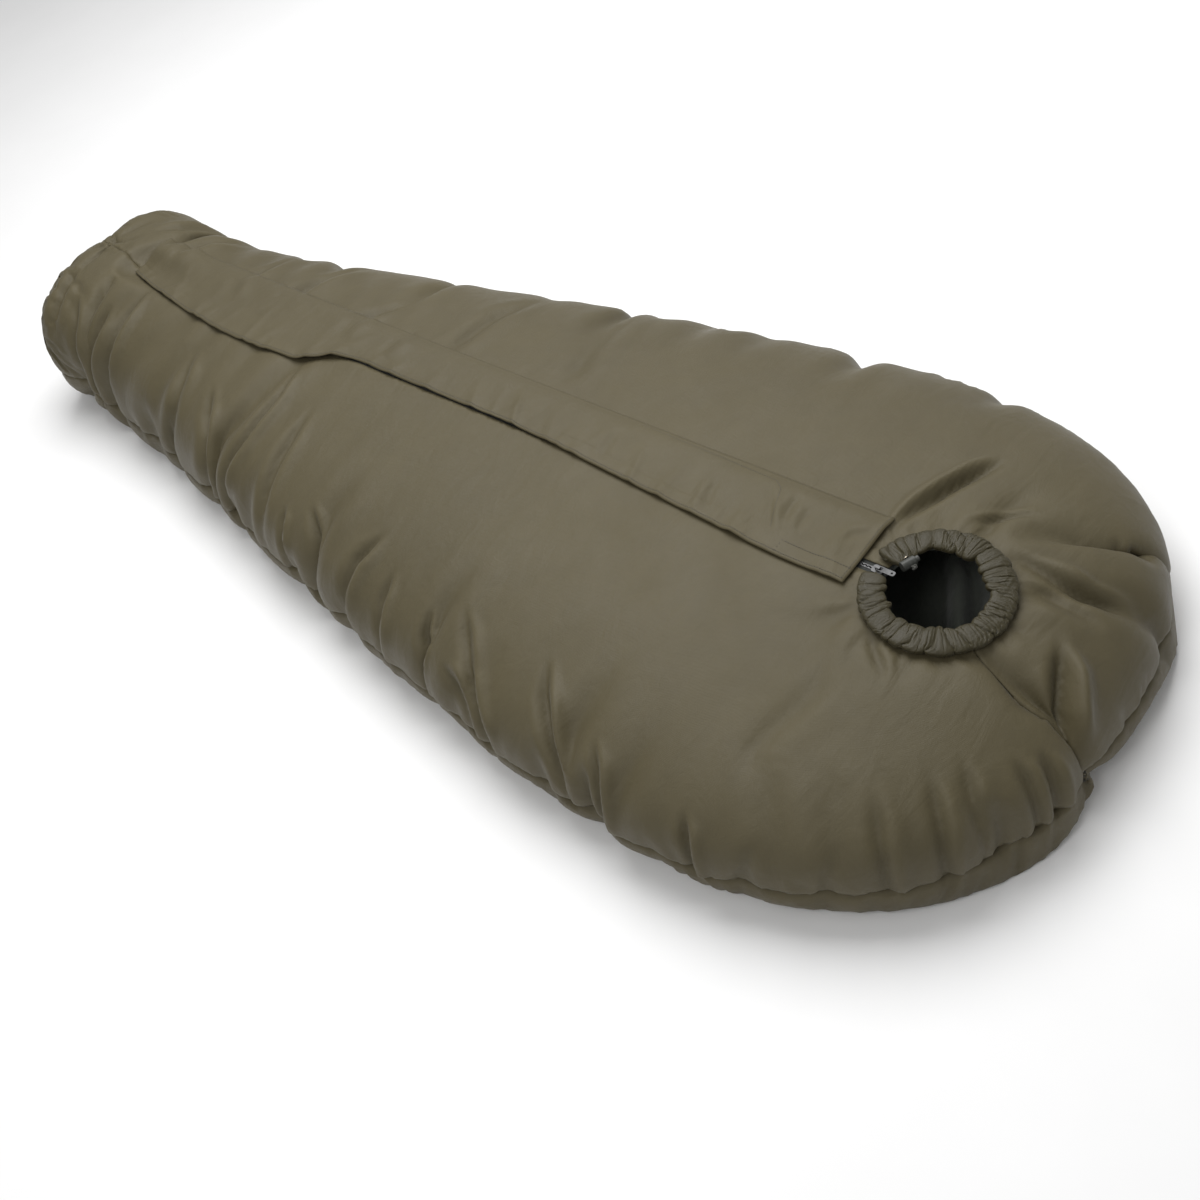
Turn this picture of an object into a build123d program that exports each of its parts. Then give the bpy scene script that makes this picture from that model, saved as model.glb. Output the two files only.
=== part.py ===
"""Insulated mummy bag with a centre zip under a storm flap and a drawcord face opening.

Millimetres. +X is the sleeper's left, +Y points from the foot to the head, +Z is up.
The origin is on the floor, under the middle of the bag's box.
"""
from build123d import *
import math
import os

# ---- outline: half widths at distances from the foot, then an oval hood ----
LENGTH = 2200
FOOT_Y = -LENGTH / 2
HALF_WIDTHS = [(70, 203), (100, 205), (130, 208), (160, 211), (190, 214), (350, 233), (750, 311),
               (1150, 388), (1420, 432), (1675, 455)]
FOOT_ROUNDING = [(0, 0.82, 0.65), (25, 0.958, 0.92)]  # distance, share of width, share of height
HOOD_START = HALF_WIDTHS[-1][0]
HOOD_SHARPNESS = 2.43
HOOD_STEPS = (0.30, 0.52, 0.70, 0.84, 0.93, 0.98, 0.998)

# ---- height: a straight ridge that carries the zip, then a fall over the hood ----
SEAM_Z = 65
RIDGE_Z_MID = 218.5
RIDGE_SLOPE = -0.015
FOOT_LIFT, LIFT_FROM, LIFT_TO = 26, 60, 190  # the foot box stands higher than the legs
CROWN_FALL_START = 1860
CROWN_FALL_SHARPNESS = 2.46
DOME = 0.70  # how full the upper quarter curve is, 0.55 is an ellipse
BASE_SHARE = 0.88  # width of the flat ground face over the width at the seam

# ---- layers, measured inward from the outer surface ----
SHELL = (0, 1.2)
SEAM_TAPE = (1.7, 2.5)
FILL = (3.2, 35)
LINER = (36.2, 37.2)
PANEL_GAP = 0.5
SEAM_TAPE_HALF = 8

# ---- zip, in ridge coordinates: x across, y along, z above the ridge ----
ZIP_FOOT, ZIP_HEAD, SLOT_FOOT = -885, 771, -897
SHELL_SLOT, FILL_SLOT = 9, 11
REBATE_HALF, REBATE_DEPTH = 27, 8
TEETH_HALF, TEETH_BOTTOM, TEETH_HEIGHT = 3.0, -4.6, 3.6
TOOTH_PITCH, TOOTH_WIDTH, TOOTH_TIP, TOOTH_ROOT = 6.0, 2.5, 0.5, 1.6
TAPE_HALF, TAPE_BOTTOM, TAPE_THICK = 22, -3.2, 0.8
STOP_LENGTH = 4
SLIDER_Y, SLIDER_LENGTH, SLIDER_HALF = 757, 17, 6.5
SLIDER_BOTTOM, SLIDER_TOP = -7.0, 1.2
WEB_HALF, WEB_LENGTH = 0.28, 9
PIN_RADIUS, PIN_CLEARANCE, PIN_HEIGHT = 1.1, 0.1, 2.3
BRIDGE_HALF, ARM_INNER, ARM_OUTER = 2.4, 2.8, 4.2
PULL_LENGTH, PULL_THICK = 26, 1.4

# ---- storm flap, in ridge coordinates ----
FLAP_SEWN_X, FLAP_FREE_X = -78, 38
FLAP_FOOT, FLAP_HEAD = -905, 730
FLAP_LINING_Z, FLAP_STIFFENER_Z, FLAP_OUTER_Z = (3.2, 4.0), (4.2, 5.0), (5.2, 6.0)
STIFFENER_X = (20, 34)
PATCH_X, PATCH_Y = (14, 36), (617, 727)
HOOK_Z, LOOP_Z = (1.9, 3.0), (0.5, 1.6)

# ---- face opening, in ring coordinates: centre of the hole, z off the hood ----
RING_Y, RING_Z, RING_TILT = 845, 204, 4.0
HOLE_RADIUS = 72
CASING_INNER, CASING_OUTER, CASING_LOW, CASING_HIGH = 67, 103, 2.5, 16.5
CASING_GAP_ANGLE = 10.2  # each side of the zip
CORD_R, CORD_PATH_RADIUS, CORD_Z = 1.75, 85, 9.5
CHANNEL_R = 2.8
EXIT_ANGLE, EXIT_BEND = 247, 10
POCKET_REACH = 12.5  # half width of the room for the cord's bend, inside the casing
LOCK_RADIUS_AT, LOCK_R, LOCK_FRONT, LOCK_BACK = 57.5, 7.0, 8, -13.2
PLUNGER_R, PLUNGER_LOW, PLUNGER_OUT, PLUNGER_TRAVEL = 4.3, -4.2, 14, 4.0
LOCK_CLEARANCE, SPRING_ROOM = 0.2, 7.0
SPRING_WIRE, SPRING_R, SPRING_TURNS = 0.35, 2.6, 3
KNOT_R, EYELET_R, EYELET_THICK = 3.4, 4.6, 1.2

# ---- inside ----
DRAFT_Z, DRAFT_HALF_WIDTH, DRAFT_HALF_HEIGHT, DRAFT_SKIN = -51, 30, 12, 0.8
DRAFT_FOOT, DRAFT_HEAD = -880, 590
COLLAR_Y, COLLAR_HALF, COLLAR, COLLAR_PARTING = 660, 17, (38.2, 54), 12
COLLAR_QUILT_X, COLLAR_SKIN = 262, 1.0  # quilting lines that part its fill into five chambers
POCKET_X, POCKET_Y, POCKET = (-250, -90), (290, 530), (38.2, 39.2)

os.makedirs("parts", exist_ok=True)
RIDGE = Plane(origin=(0, 0, RIDGE_Z_MID), x_dir=(1, 0, 0),
              z_dir=(0, -RIDGE_SLOPE, 1))
RING = Plane(origin=(0, RING_Y, RING_Z), x_dir=(1, 0, 0),
             z_dir=(0, math.sin(math.radians(RING_TILT)), math.cos(math.radians(RING_TILT))))


def save(shape, name):
    """Writes one sub-part, as a compound of its solids."""
    solids = shape.solids()
    export_step(Compound(solids) if len(solids) > 1 else solids[0], f"parts/{name}.step")


def box(x, y, z):
    """A box between two values on each axis."""
    return Pos((x[0] + x[1]) / 2, (y[0] + y[1]) / 2, (z[0] + z[1]) / 2) * Box(
        x[1] - x[0], y[1] - y[0], z[1] - z[0])


def on_ridge(shape):
    return RIDGE * shape


def on_ring(shape):
    return RING * shape


# ---------------------------------------------------------------- the bag's body
def oval(share, sharpness):
    return (1 - share ** sharpness) ** (1 / sharpness)


def ridge_height(from_foot, inset):
    straight = RIDGE_Z_MID + RIDGE_SLOPE * (min(from_foot, CROWN_FALL_START) + FOOT_Y) - inset
    along = min(max((from_foot - LIFT_FROM) / (LIFT_TO - LIFT_FROM), 0), 1)
    straight += FOOT_LIFT * (1 + math.cos(math.pi * along)) / 2
    run = max(0, from_foot - CROWN_FALL_START) / (LENGTH - inset - CROWN_FALL_START)
    return SEAM_Z + (straight - SEAM_Z) * oval(min(run, 0.9995), CROWN_FALL_SHARPNESS)


def stations(inset):
    """(distance from the foot, half width, height) of each cross-section."""
    rows = []
    for distance, width_share, height_share in FOOT_ROUNDING:
        at = inset + distance
        height = SEAM_Z + (ridge_height(at, inset) - SEAM_Z) * height_share
        rows.append((at, (HALF_WIDTHS[0][1] - inset) * width_share, height))
    for at, half in HALF_WIDTHS:
        at += inset * max(LIFT_TO - at, 0) / (LIFT_TO - HALF_WIDTHS[0][0])
        rows.append((at, half - inset, ridge_height(at, inset)))
    for share in HOOD_STEPS:
        at = HOOD_START + share * (LENGTH - inset - HOOD_START)
        half = (HALF_WIDTHS[-1][1] - inset) * oval(share, HOOD_SHARPNESS)
        rows.append((at, half, ridge_height(at, inset)))
    return rows


def section(from_foot, half, height, inset):
    """A closed cross-section: domed above the seam, tucked under to a flat base below it."""
    y = from_foot + FOOT_Y
    low, base = inset, half * BASE_SHARE

    def quarter(side):
        up = Bezier((side * half, y, SEAM_Z), (side * half, y, SEAM_Z + DOME * (height - SEAM_Z)),
                    (side * DOME * half, y, height), (0, y, height))
        down = Bezier((side * base, y, low), (side * (base + 0.7 * (half - base)), y, low),
                      (side * half, y, low + 0.4 * (SEAM_Z - low)), (side * half, y, SEAM_Z))
        return down, up

    right_down, right_up = quarter(1)
    left_down, left_up = quarter(-1)
    ground = Line((-base, y, low), (base, y, low))
    return Wire([ground, right_down, right_up, left_up, left_down])


def body(inset, from_y=-LENGTH, to_y=LENGTH):
    """The bag's solid at a depth below its surface, or only the sections between two places."""
    rows = [row for row in stations(inset) if from_y <= row[0] + FOOT_Y <= to_y]
    return Solid.make_loft([section(*row, inset) for row in rows], ruled=True)


def layer(depths):
    return body(depths[0]) - body(depths[1])


WIDE = 2 * LENGTH
FOOT_CUT = {"shell": FOOT_Y + SHELL[1], "fill": FOOT_Y + FILL[1] - 1, "liner": FOOT_Y + LINER[1]}


def face_hole():
    return on_ring(Cylinder(HOLE_RADIUS, 200))


def zip_slot(half):
    """The slit that the zip closes, from its foot end into the face hole."""
    return on_ridge(box((-half, half), (SLOT_FOOT, RING_Y), (-90, 40)))


def split_layer(name, whole, slot_half):
    """Cuts one layer into base, upper left, upper right and foot pieces."""
    cut = FOOT_CUT[name]
    foot = whole & box((-WIDE, WIDE), (-WIDE, cut - PANEL_GAP / 2), (-1, WIDE))
    rest = whole & box((-WIDE, WIDE), (cut + PANEL_GAP / 2, WIDE), (-1, WIDE))
    base = rest & box((-WIDE, WIDE), (-WIDE, WIDE), (-1, SEAM_Z - PANEL_GAP / 2))
    upper = rest & box((-WIDE, WIDE), (-WIDE, WIDE), (SEAM_Z + PANEL_GAP / 2, WIDE))
    upper = upper - face_hole() - zip_slot(slot_half)
    if name == "fill":
        upper = upper - on_ridge(box((-REBATE_HALF, REBATE_HALF), (SLOT_FOOT, RING_Y),
                                     (-REBATE_DEPTH, 40)))
    left = upper & box((PANEL_GAP / 2, WIDE), (-WIDE, WIDE), (-1, WIDE))
    right = upper & box((-WIDE, -PANEL_GAP / 2), (-WIDE, WIDE), (-1, WIDE))
    save(base, f"{name}_base")
    save(left, f"{name}_upper_left")
    save(right, f"{name}_upper_right")
    save(foot, f"{name}_foot")


def build_layers():
    split_layer("shell", layer(SHELL), SHELL_SLOT)
    split_layer("fill", layer(FILL), FILL_SLOT)
    split_layer("liner", layer(LINER), SHELL_SLOT)
    tape = layer(SEAM_TAPE) & box((-WIDE, WIDE), (-WIDE, WIDE),
                                  (SEAM_Z - SEAM_TAPE_HALF, SEAM_Z + SEAM_TAPE_HALF))
    save(tape, "perimeter_seam_tape")


# ---------------------------------------------------------------- the zip
def tooth_comb(side, first):
    """One side's teeth on their bead: a comb outline, extruded."""
    outer, root, tip = TEETH_HALF, TOOTH_ROOT, TOOTH_TIP
    points = [(outer, ZIP_FOOT), (root, ZIP_FOOT)]
    y = ZIP_FOOT + first
    while y + TOOTH_WIDTH < ZIP_HEAD - SLIDER_LENGTH - STOP_LENGTH + 6:
        points += [(root, y), (tip, y + 0.3), (tip, y + TOOTH_WIDTH - 0.3), (root, y + TOOTH_WIDTH)]
        y += TOOTH_PITCH
    points += [(root, y), (outer, y)]
    outline = Polyline(*[(side * x, y) for x, y in points], close=True)
    return on_ridge(Pos(0, 0, TEETH_BOTTOM) * extrude(make_face(outline), TEETH_HEIGHT, dir=(0, 0, 1)))


def build_zip():
    for side, name, first in ((1, "left", 1.0), (-1, "right", 1.0 + TOOTH_PITCH / 2)):
        edges = sorted((side * TEETH_HALF, side * TAPE_HALF))
        tape = box(edges, (ZIP_FOOT, ZIP_HEAD), (TAPE_BOTTOM, TAPE_BOTTOM + TAPE_THICK))
        save(on_ridge(tape), f"zip_tape_{name}")
        save(tooth_comb(side, first), f"zip_teeth_{name}")
    height = (TEETH_BOTTOM, TEETH_BOTTOM + TEETH_HEIGHT)
    head = (ZIP_HEAD - STOP_LENGTH, ZIP_HEAD)
    stops = [box(sorted((side * 0.8, side * TEETH_HALF)), head, height) for side in (1, -1)]
    save(on_ridge(Compound(stops)), "zip_top_stops")
    foot = (ZIP_FOOT - STOP_LENGTH - 0.2, ZIP_FOOT - 0.2)
    save(on_ridge(box((-TEETH_HALF, TEETH_HALF), foot, height)), "zip_bottom_stop")


def slider():
    """Two plates over and under the teeth, joined by a web that runs between the two rows."""
    y = (SLIDER_Y - SLIDER_LENGTH / 2, SLIDER_Y + SLIDER_LENGTH / 2)
    block = box((-SLIDER_HALF, SLIDER_HALF), y, (SLIDER_BOTTOM, SLIDER_TOP))
    corners = block.edges().filter_by(Axis.Z)
    block = chamfer(corners, 2.2)
    tunnel = box((-3.5, 3.5), (y[0] - 1, y[1] + 1), (TEETH_BOTTOM - 0.5, TEETH_BOTTOM + TEETH_HEIGHT + 0.5))
    tape_way = box((-9, 9), (y[0] - 1, y[1] + 1), (TAPE_BOTTOM - 0.5, TAPE_BOTTOM + TAPE_THICK + 0.5))
    web = box((-WEB_HALF, WEB_HALF), (y[1] - 1 - WEB_LENGTH, y[1] - 1), (SLIDER_BOTTOM, SLIDER_TOP))
    made = block - tunnel - tape_way + web
    for face, outward in ((SLIDER_TOP, 1), (SLIDER_BOTTOM, -1)):
        axis_z = face + outward * PIN_HEIGHT
        bridge = box((-BRIDGE_HALF, BRIDGE_HALF), (SLIDER_Y - 3.2, SLIDER_Y + 3.2),
                     sorted((face, axis_z + outward * 2.4)))
        made += bridge
        made -= Pos(0, SLIDER_Y, axis_z) * Rot(0, 90, 0) * Cylinder(PIN_RADIUS + PIN_CLEARANCE, 20)
    return made


def pull(direction):
    """A pull with its pin at the origin, lying along +Y, then turned to direction (degrees about X)."""
    pin = Rot(0, 90, 0) * Cylinder(PIN_RADIUS, 2 * ARM_OUTER)
    arms = [box(sorted((side * ARM_INNER, side * ARM_OUTER)), (-1.1, 8), (-PULL_THICK / 2, PULL_THICK / 2))
            for side in (1, -1)]
    plate = box((-ARM_OUTER, ARM_OUTER), (7, PULL_LENGTH), (-PULL_THICK / 2, PULL_THICK / 2))
    plate = fillet(plate.edges().filter_by(Axis.Z).group_by(Axis.Y)[-1], 3)
    hole = Pos(0, PULL_LENGTH - 4.5, 0) * Cylinder(1.6, 5)
    made = pin + arms[0] + arms[1] + plate - hole
    return Rot(direction, 0, 0) * made


def build_slider():
    save(on_ridge(slider()), "zip_slider")
    save(on_ridge(Pos(0, SLIDER_Y, SLIDER_TOP + PIN_HEIGHT) * pull(0)), "zip_pull")
    save(on_ridge(Pos(0, SLIDER_Y, SLIDER_BOTTOM - PIN_HEIGHT) * pull(-90)), "zip_pull_inner")


# ---------------------------------------------------------------- the storm flap
def build_flap():
    across, along = (FLAP_SEWN_X, FLAP_FREE_X), (FLAP_FOOT, FLAP_HEAD)
    save(on_ridge(box(across, along, FLAP_OUTER_Z)), "flap_outer")
    save(on_ridge(box(across, along, FLAP_LINING_Z)), "flap_lining")
    save(on_ridge(box(STIFFENER_X, (along[0] + 10, along[1] - 10), FLAP_STIFFENER_Z)), "flap_stiffener")
    save(on_ridge(box(PATCH_X, PATCH_Y, HOOK_Z)), "flap_hook_patch")
    save(on_ridge(box(PATCH_X, PATCH_Y, LOOP_Z)), "flap_loop_patch")


# ---------------------------------------------------------------- the face opening
def polar(radius, angle, z=0):
    return (radius * math.cos(math.radians(angle)), radius * math.sin(math.radians(angle)), z)


def bend_start():
    """The angle round the casing at which the cord leaves its circle, to turn inward."""
    return EXIT_ANGLE - math.degrees(math.asin(EXIT_BEND / (CORD_PATH_RADIUS - EXIT_BEND)))


def cord_path(gap_angle):
    """Round the casing from beside the zip, then a bend inward out of the eyelet."""
    start_angle = 270 + gap_angle - 360
    ring = CenterArc((0, 0), CORD_PATH_RADIUS, start_angle, bend_start() - start_angle)
    bend = JernArc(ring @ 1, ring % 1, EXIT_BEND, 90)
    inner_end = LOCK_RADIUS_AT - LOCK_R - 3
    run = Line(bend @ 1, polar(inner_end, EXIT_ANGLE))
    return Wire([ring, bend, run])


def tube_along(path, radius):
    return sweep(Plane(path @ 0, z_dir=path % 0) * Circle(radius), path=path)


def part_ring(profile, gap_angle):
    """A profile in the XZ plane, turned about Z from one side of the zip round to the other."""
    return revolve(Rot(0, 0, 270 + gap_angle) * profile, Axis.Z, revolution_arc=360 - 2 * gap_angle)


def casing():
    middle = ((CASING_INNER + CASING_OUTER) / 2, (CASING_LOW + CASING_HIGH) / 2)
    oval_tube = Plane.XZ * Pos(*middle) * Ellipse((CASING_OUTER - CASING_INNER) / 2,
                                                  (CASING_HIGH - CASING_LOW) / 2)
    channel = Plane.XZ * Pos(CORD_PATH_RADIUS, CORD_Z) * Circle(CHANNEL_R)
    ring = part_ring(oval_tube, CASING_GAP_ANGLE) - part_ring(channel, CASING_GAP_ANGLE - 1)
    radial = (CASING_INNER - 8, CORD_PATH_RADIUS + CHANNEL_R - 1)
    room = box(radial, (-POCKET_REACH, CHANNEL_R), (-CHANNEL_R, CHANNEL_R))
    return ring - Rot(0, 0, EXIT_ANGLE) * Pos(0, 0, CORD_Z) * room


def lock_frame(shape):
    """Places a cord lock part: its own X is the plunger's way out, its own Y is radial."""
    return Pos(*polar(LOCK_RADIUS_AT, EXIT_ANGLE, CORD_Z)) * Rot(0, 0, EXIT_ANGLE - 90) * shape


def along_x(radius, start, end):
    return Pos((start + end) / 2, 0, 0) * Rot(0, 90, 0) * Cylinder(radius, end - start)


def build_cord_lock():
    floor = PLUNGER_LOW - SPRING_ROOM
    body_part = along_x(LOCK_R, LOCK_BACK, LOCK_FRONT)
    body_part = fillet(body_part.edges().filter_by(GeomType.CIRCLE), 1.0)
    body_part -= along_x(PLUNGER_R + LOCK_CLEARANCE, floor, LOCK_FRONT + 1)
    body_part -= Rot(90, 0, 0) * Cylinder(CORD_R + 0.4, 40)
    plunger = along_x(PLUNGER_R, PLUNGER_LOW, PLUNGER_OUT)
    plunger = fillet(plunger.edges().filter_by(GeomType.CIRCLE).group_by(Axis.X)[-1], 1.2)
    reach = CORD_R + 0.15
    plunger -= box((-reach, reach + PLUNGER_TRAVEL), (-20, 20), (-reach, reach))
    height = SPRING_ROOM - 2 * SPRING_WIRE - 0.4
    coil = Helix(pitch=height / SPRING_TURNS, height=height, radius=SPRING_R)
    spring = sweep(Plane(coil @ 0, z_dir=coil % 0) * Circle(SPRING_WIRE), path=coil, is_frenet=True)
    spring = Pos(floor + SPRING_WIRE + 0.2, 0, 0) * Rot(0, 90, 0) * spring
    for shape, name in ((body_part, "cord_lock_body"), (plunger, "cord_lock_plunger"),
                        (spring, "cord_lock_spring")):
        save(on_ring(lock_frame(shape)), name)


def build_face_opening():
    cord = Pos(0, 0, CORD_Z) * tube_along(cord_path(CASING_GAP_ANGLE + 3), CORD_R)
    knot = lock_frame(Pos(0, KNOT_R - LOCK_R - 6, 0) * Sphere(KNOT_R))
    save(on_ring(casing()), "face_casing")
    save(on_ring(cord), "face_drawcord")
    save(on_ring(knot - cord), "cord_knot")
    eyelet = Cylinder(EYELET_R, EYELET_THICK) - Cylinder(CORD_R + 0.4, 3)
    at = Pos(*polar(CASING_INNER - 1.4, EXIT_ANGLE, CORD_Z)) * Rot(0, 0, EXIT_ANGLE) * Rot(0, 90, 0)
    save(on_ring(at * eyelet), "cord_eyelet")


# ---------------------------------------------------------------- inside the bag
def build_draft_tube():
    span = DRAFT_HEAD - DRAFT_FOOT

    def rod(shrink):
        face = Ellipse(DRAFT_HALF_WIDTH - shrink, DRAFT_HALF_HEIGHT - shrink)
        return Pos(0, DRAFT_FOOT, DRAFT_Z) * extrude(Plane.XZ * face, -span)

    save(on_ridge(rod(0) - rod(DRAFT_SKIN)), "draft_tube_cover")
    save(on_ridge(rod(DRAFT_SKIN + 0.6)), "draft_tube_fill")


def chambers(gap):
    """The parts of the collar between its quilting lines, each drawn in by a gap."""
    line, low = COLLAR_QUILT_X, SEAM_Z
    return {
        "top_left": box((-gap, line - gap), (0, WIDE), (low, WIDE)),
        "top_right": box((gap - line, gap), (0, WIDE), (low, WIDE)),
        "side_left": box((line + gap, WIDE), (0, WIDE), (0, WIDE)),
        "side_right": box((-WIDE, -line - gap), (0, WIDE), (0, WIDE)),
        "base": box((gap - line, line - gap), (0, WIDE), (0, low)),
    }


def build_collar():
    """A padded band that follows the liner round the neck, parted where the zip passes."""
    outer, inner = COLLAR

    def band(skin, parting):
        shells = [body(depth, COLLAR_Y - 150, COLLAR_Y + 150) for depth in (outer + skin, inner - skin)]
        half_width = COLLAR_HALF - skin
        whole = shells[0] - shells[1]
        whole = whole & box((-WIDE, WIDE), (COLLAR_Y - half_width, COLLAR_Y + half_width), (-1, WIDE))
        return whole - box((-parting, parting), (0, WIDE), (SEAM_Z, WIDE))

    cover = band(0, COLLAR_PARTING)
    room = band(COLLAR_SKIN, COLLAR_PARTING + COLLAR_SKIN)
    padding = band(COLLAR_SKIN + 0.5, COLLAR_PARTING + COLLAR_SKIN + 0.5)
    for chamber in chambers(0.5).values():
        cover -= room & chamber
    save(cover, "collar_cover")
    for name, chamber in chambers(1.0).items():
        save(padding & chamber, f"collar_fill_{name}")


def build_pocket():
    save(layer(POCKET) & box(POCKET_X, POCKET_Y, (SEAM_Z, WIDE)), "inner_pocket")


build_layers()
build_zip()
build_slider()
build_flap()
build_cord_lock()
build_face_opening()
build_draft_tube()
build_collar()
build_pocket()
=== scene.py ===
"""The looks of an insulated mummy bag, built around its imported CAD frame. Metres, +Y to the head, +Z up."""

import math
from types import SimpleNamespace

import bpy
import numpy as np
from mathutils import Matrix, Vector
from mathutils.bvhtree import BVHTree
from mathutils.geometry import delaunay_2d_cdt
from mathutils.kdtree import KDTree


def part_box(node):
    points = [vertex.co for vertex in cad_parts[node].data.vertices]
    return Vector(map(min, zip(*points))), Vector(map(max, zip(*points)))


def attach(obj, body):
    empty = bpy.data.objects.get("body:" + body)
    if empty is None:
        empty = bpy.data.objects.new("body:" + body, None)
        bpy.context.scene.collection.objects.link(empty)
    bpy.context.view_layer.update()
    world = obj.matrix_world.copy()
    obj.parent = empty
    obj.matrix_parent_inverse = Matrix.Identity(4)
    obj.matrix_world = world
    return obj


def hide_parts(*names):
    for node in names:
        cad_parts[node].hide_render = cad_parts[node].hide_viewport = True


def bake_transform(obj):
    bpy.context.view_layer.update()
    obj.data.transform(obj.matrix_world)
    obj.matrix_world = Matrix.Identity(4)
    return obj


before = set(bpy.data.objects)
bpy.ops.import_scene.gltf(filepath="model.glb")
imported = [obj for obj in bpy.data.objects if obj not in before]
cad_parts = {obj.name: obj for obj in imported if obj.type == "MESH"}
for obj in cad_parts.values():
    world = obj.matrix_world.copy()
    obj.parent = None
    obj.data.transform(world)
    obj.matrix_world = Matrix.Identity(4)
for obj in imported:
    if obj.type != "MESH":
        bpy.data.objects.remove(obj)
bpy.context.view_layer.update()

# ---------------------------------------------------------------- the bag's form, as in the CAD
LENGTH = 2.2
FOOT_Y = -LENGTH / 2
HALF_WIDTHS = [(0.07, 0.203), (0.35, 0.233), (0.75, 0.311), (1.15, 0.388), (1.42, 0.432), (1.675, 0.455)]
HOOD_START, HOOD_SHARPNESS = 1.675, 2.43
OUTLINE_REACH = 0.7  # farther from the spine than any point of the outline
SEAM_Z = 0.065
RIDGE_Z_MID, RIDGE_SLOPE = 0.2185, -0.015
CROWN_FALL_START, CROWN_FALL_SHARPNESS = 1.86, 2.46
FOOT_LIFT, LIFT_FROM, LIFT_TO = 0.030, 0.05, 0.44
FOOT_END, FOOT_END_SHARPNESS = 0.085, 2.3
SECTION_SHARPNESS = 2.56
FOOT_TUCK, FOOT_TUCK_RANGE = 0.040, (0.84, 1.05)  # the seam's rise round the foot, and from where to where
ZIP_DIP_REACH = 0.05  # how far from the zip the raised foot comes down to it
BASE_SHARE, BASE_SHARE_LESS = 0.88, 0.16  # how much of the base is flat, and how much less at the foot
BASE_CURL, BASE_CURL_MORE = 0.05, 0.06  # how long its turned-up ends are, and how much longer at the foot
BASE_FOOT_RANGE, BASE_SHARPNESS = (0.80, 1.05), 1.9

# ---------------------------------------------------------------- places on the bag
RING_CENTRE = np.array([0.0, 0.845])
RING_Z, RING_TILT = 0.204, math.radians(4)
HOLE_RADIUS = 0.078
SLOT_HALF, SLOT_FOOT_Y = 0.009, -0.897
SPINE = (-0.90, 0.70)  # the ridge line between the fans of the foot and of the hood
UP = Vector((0, 0, 1))


def ramp(value, low, high):
    """0 up to low, 1 from high on, smooth between them."""
    t = np.clip((value - low) / (high - low), 0, 1)
    return t * t * (3 - 2 * t)


def oval(share, sharpness):
    """A superellipse's height at a share of its half width."""
    return np.clip(1 - np.clip(share, 0, 1) ** sharpness, 0, 1) ** (1 / sharpness)


def smooth_table(x, table):
    """A smooth curve through a few (x, y) pairs."""
    xs, ys = (np.array(column) for column in zip(*table))
    slopes = np.gradient(ys, xs)
    i = np.clip(np.searchsorted(xs, x) - 1, 0, len(xs) - 2)
    run = xs[i + 1] - xs[i]
    t = (x - xs[i]) / run
    return ((2 * t ** 3 - 3 * t ** 2 + 1) * ys[i] + (t ** 3 - 2 * t ** 2 + t) * run * slopes[i]
            + (3 * t ** 2 - 2 * t ** 3) * ys[i + 1] + (t ** 3 - t ** 2) * run * slopes[i + 1])


def half_width(y):
    """Half the width of the outline."""
    d = np.asarray(y, float) - FOOT_Y
    body = smooth_table(np.clip(d, HALF_WIDTHS[0][0], HOOD_START), HALF_WIDTHS)
    hood = oval((d - HOOD_START) / (LENGTH - HOOD_START), HOOD_SHARPNESS)
    foot = oval(1 - d / FOOT_END, FOOT_END_SHARPNESS)
    return body * np.where(d > HOOD_START, hood, 1) * np.where(d < FOOT_END, foot, 1)


def seam_z(y):
    """The height of the perimeter seam: it rises round the foot, where the base turns up."""
    return SEAM_Z + FOOT_TUCK * ramp(-np.asarray(y, float), *FOOT_TUCK_RANGE)


def ridge_line(y):
    """The height of the zip's own line."""
    return RIDGE_Z_MID + RIDGE_SLOPE * y


def ridge_height(y):
    """The height of the bag along its middle: the foot is raised above the zip's line."""
    d = np.asarray(y, float) - FOOT_Y
    height = ridge_line(np.minimum(d, CROWN_FALL_START) + FOOT_Y)
    lift_share = np.clip((d - LIFT_FROM) / (LIFT_TO - LIFT_FROM), 0, 1)
    height = height + FOOT_LIFT * (1 + np.cos(np.pi * lift_share)) / 2
    crown = oval((d - CROWN_FALL_START) / (LENGTH - CROWN_FALL_START), CROWN_FALL_SHARPNESS)
    foot = oval(1 - d / FOOT_END, FOOT_END_SHARPNESS)
    fall = np.where(d > CROWN_FALL_START, crown, 1) * np.where(d < FOOT_END, foot, 1)
    return seam_z(y) + (height - seam_z(y)) * fall


def top_z(x, y):
    """The rounded form of the bag's upper side."""
    across = oval(np.abs(x) / np.maximum(half_width(y), 1e-6), SECTION_SHARPNESS)
    return seam_z(y) + (ridge_height(y) - seam_z(y)) * across


def shell_z(x, y):
    """The upper panels' form: over the foot it dips to the zip, which stays on its straight line."""
    whole = top_z(x, y)
    to_slot = np.hypot(np.maximum(np.abs(x) - SLOT_HALF, 0), np.maximum(SLOT_FOOT_Y - y, 0))
    above_zip = np.maximum(whole - ridge_line(y), 0) * (y < 0)
    return whole - above_zip * (1 - ramp(to_slot, 0, ZIP_DIP_REACH))


def base_z(x, y):
    """The base's form: flat on the floor, and turned up to the seam all round."""
    half = np.maximum(half_width(y), 1e-6)
    at_foot = ramp(-y, *BASE_FOOT_RANGE)
    share = BASE_SHARE - BASE_SHARE_LESS * at_foot
    tuck = np.clip((np.abs(x) / half - share) / (1 - share), 0, 1)
    run = BASE_CURL + BASE_CURL_MORE * at_foot
    ends = np.clip((np.abs(y) - (LENGTH / 2 - run)) / run, 0, 1)
    return seam_z(y) * (1 - oval(np.maximum(tuck, ends), BASE_SHARPNESS))


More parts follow.
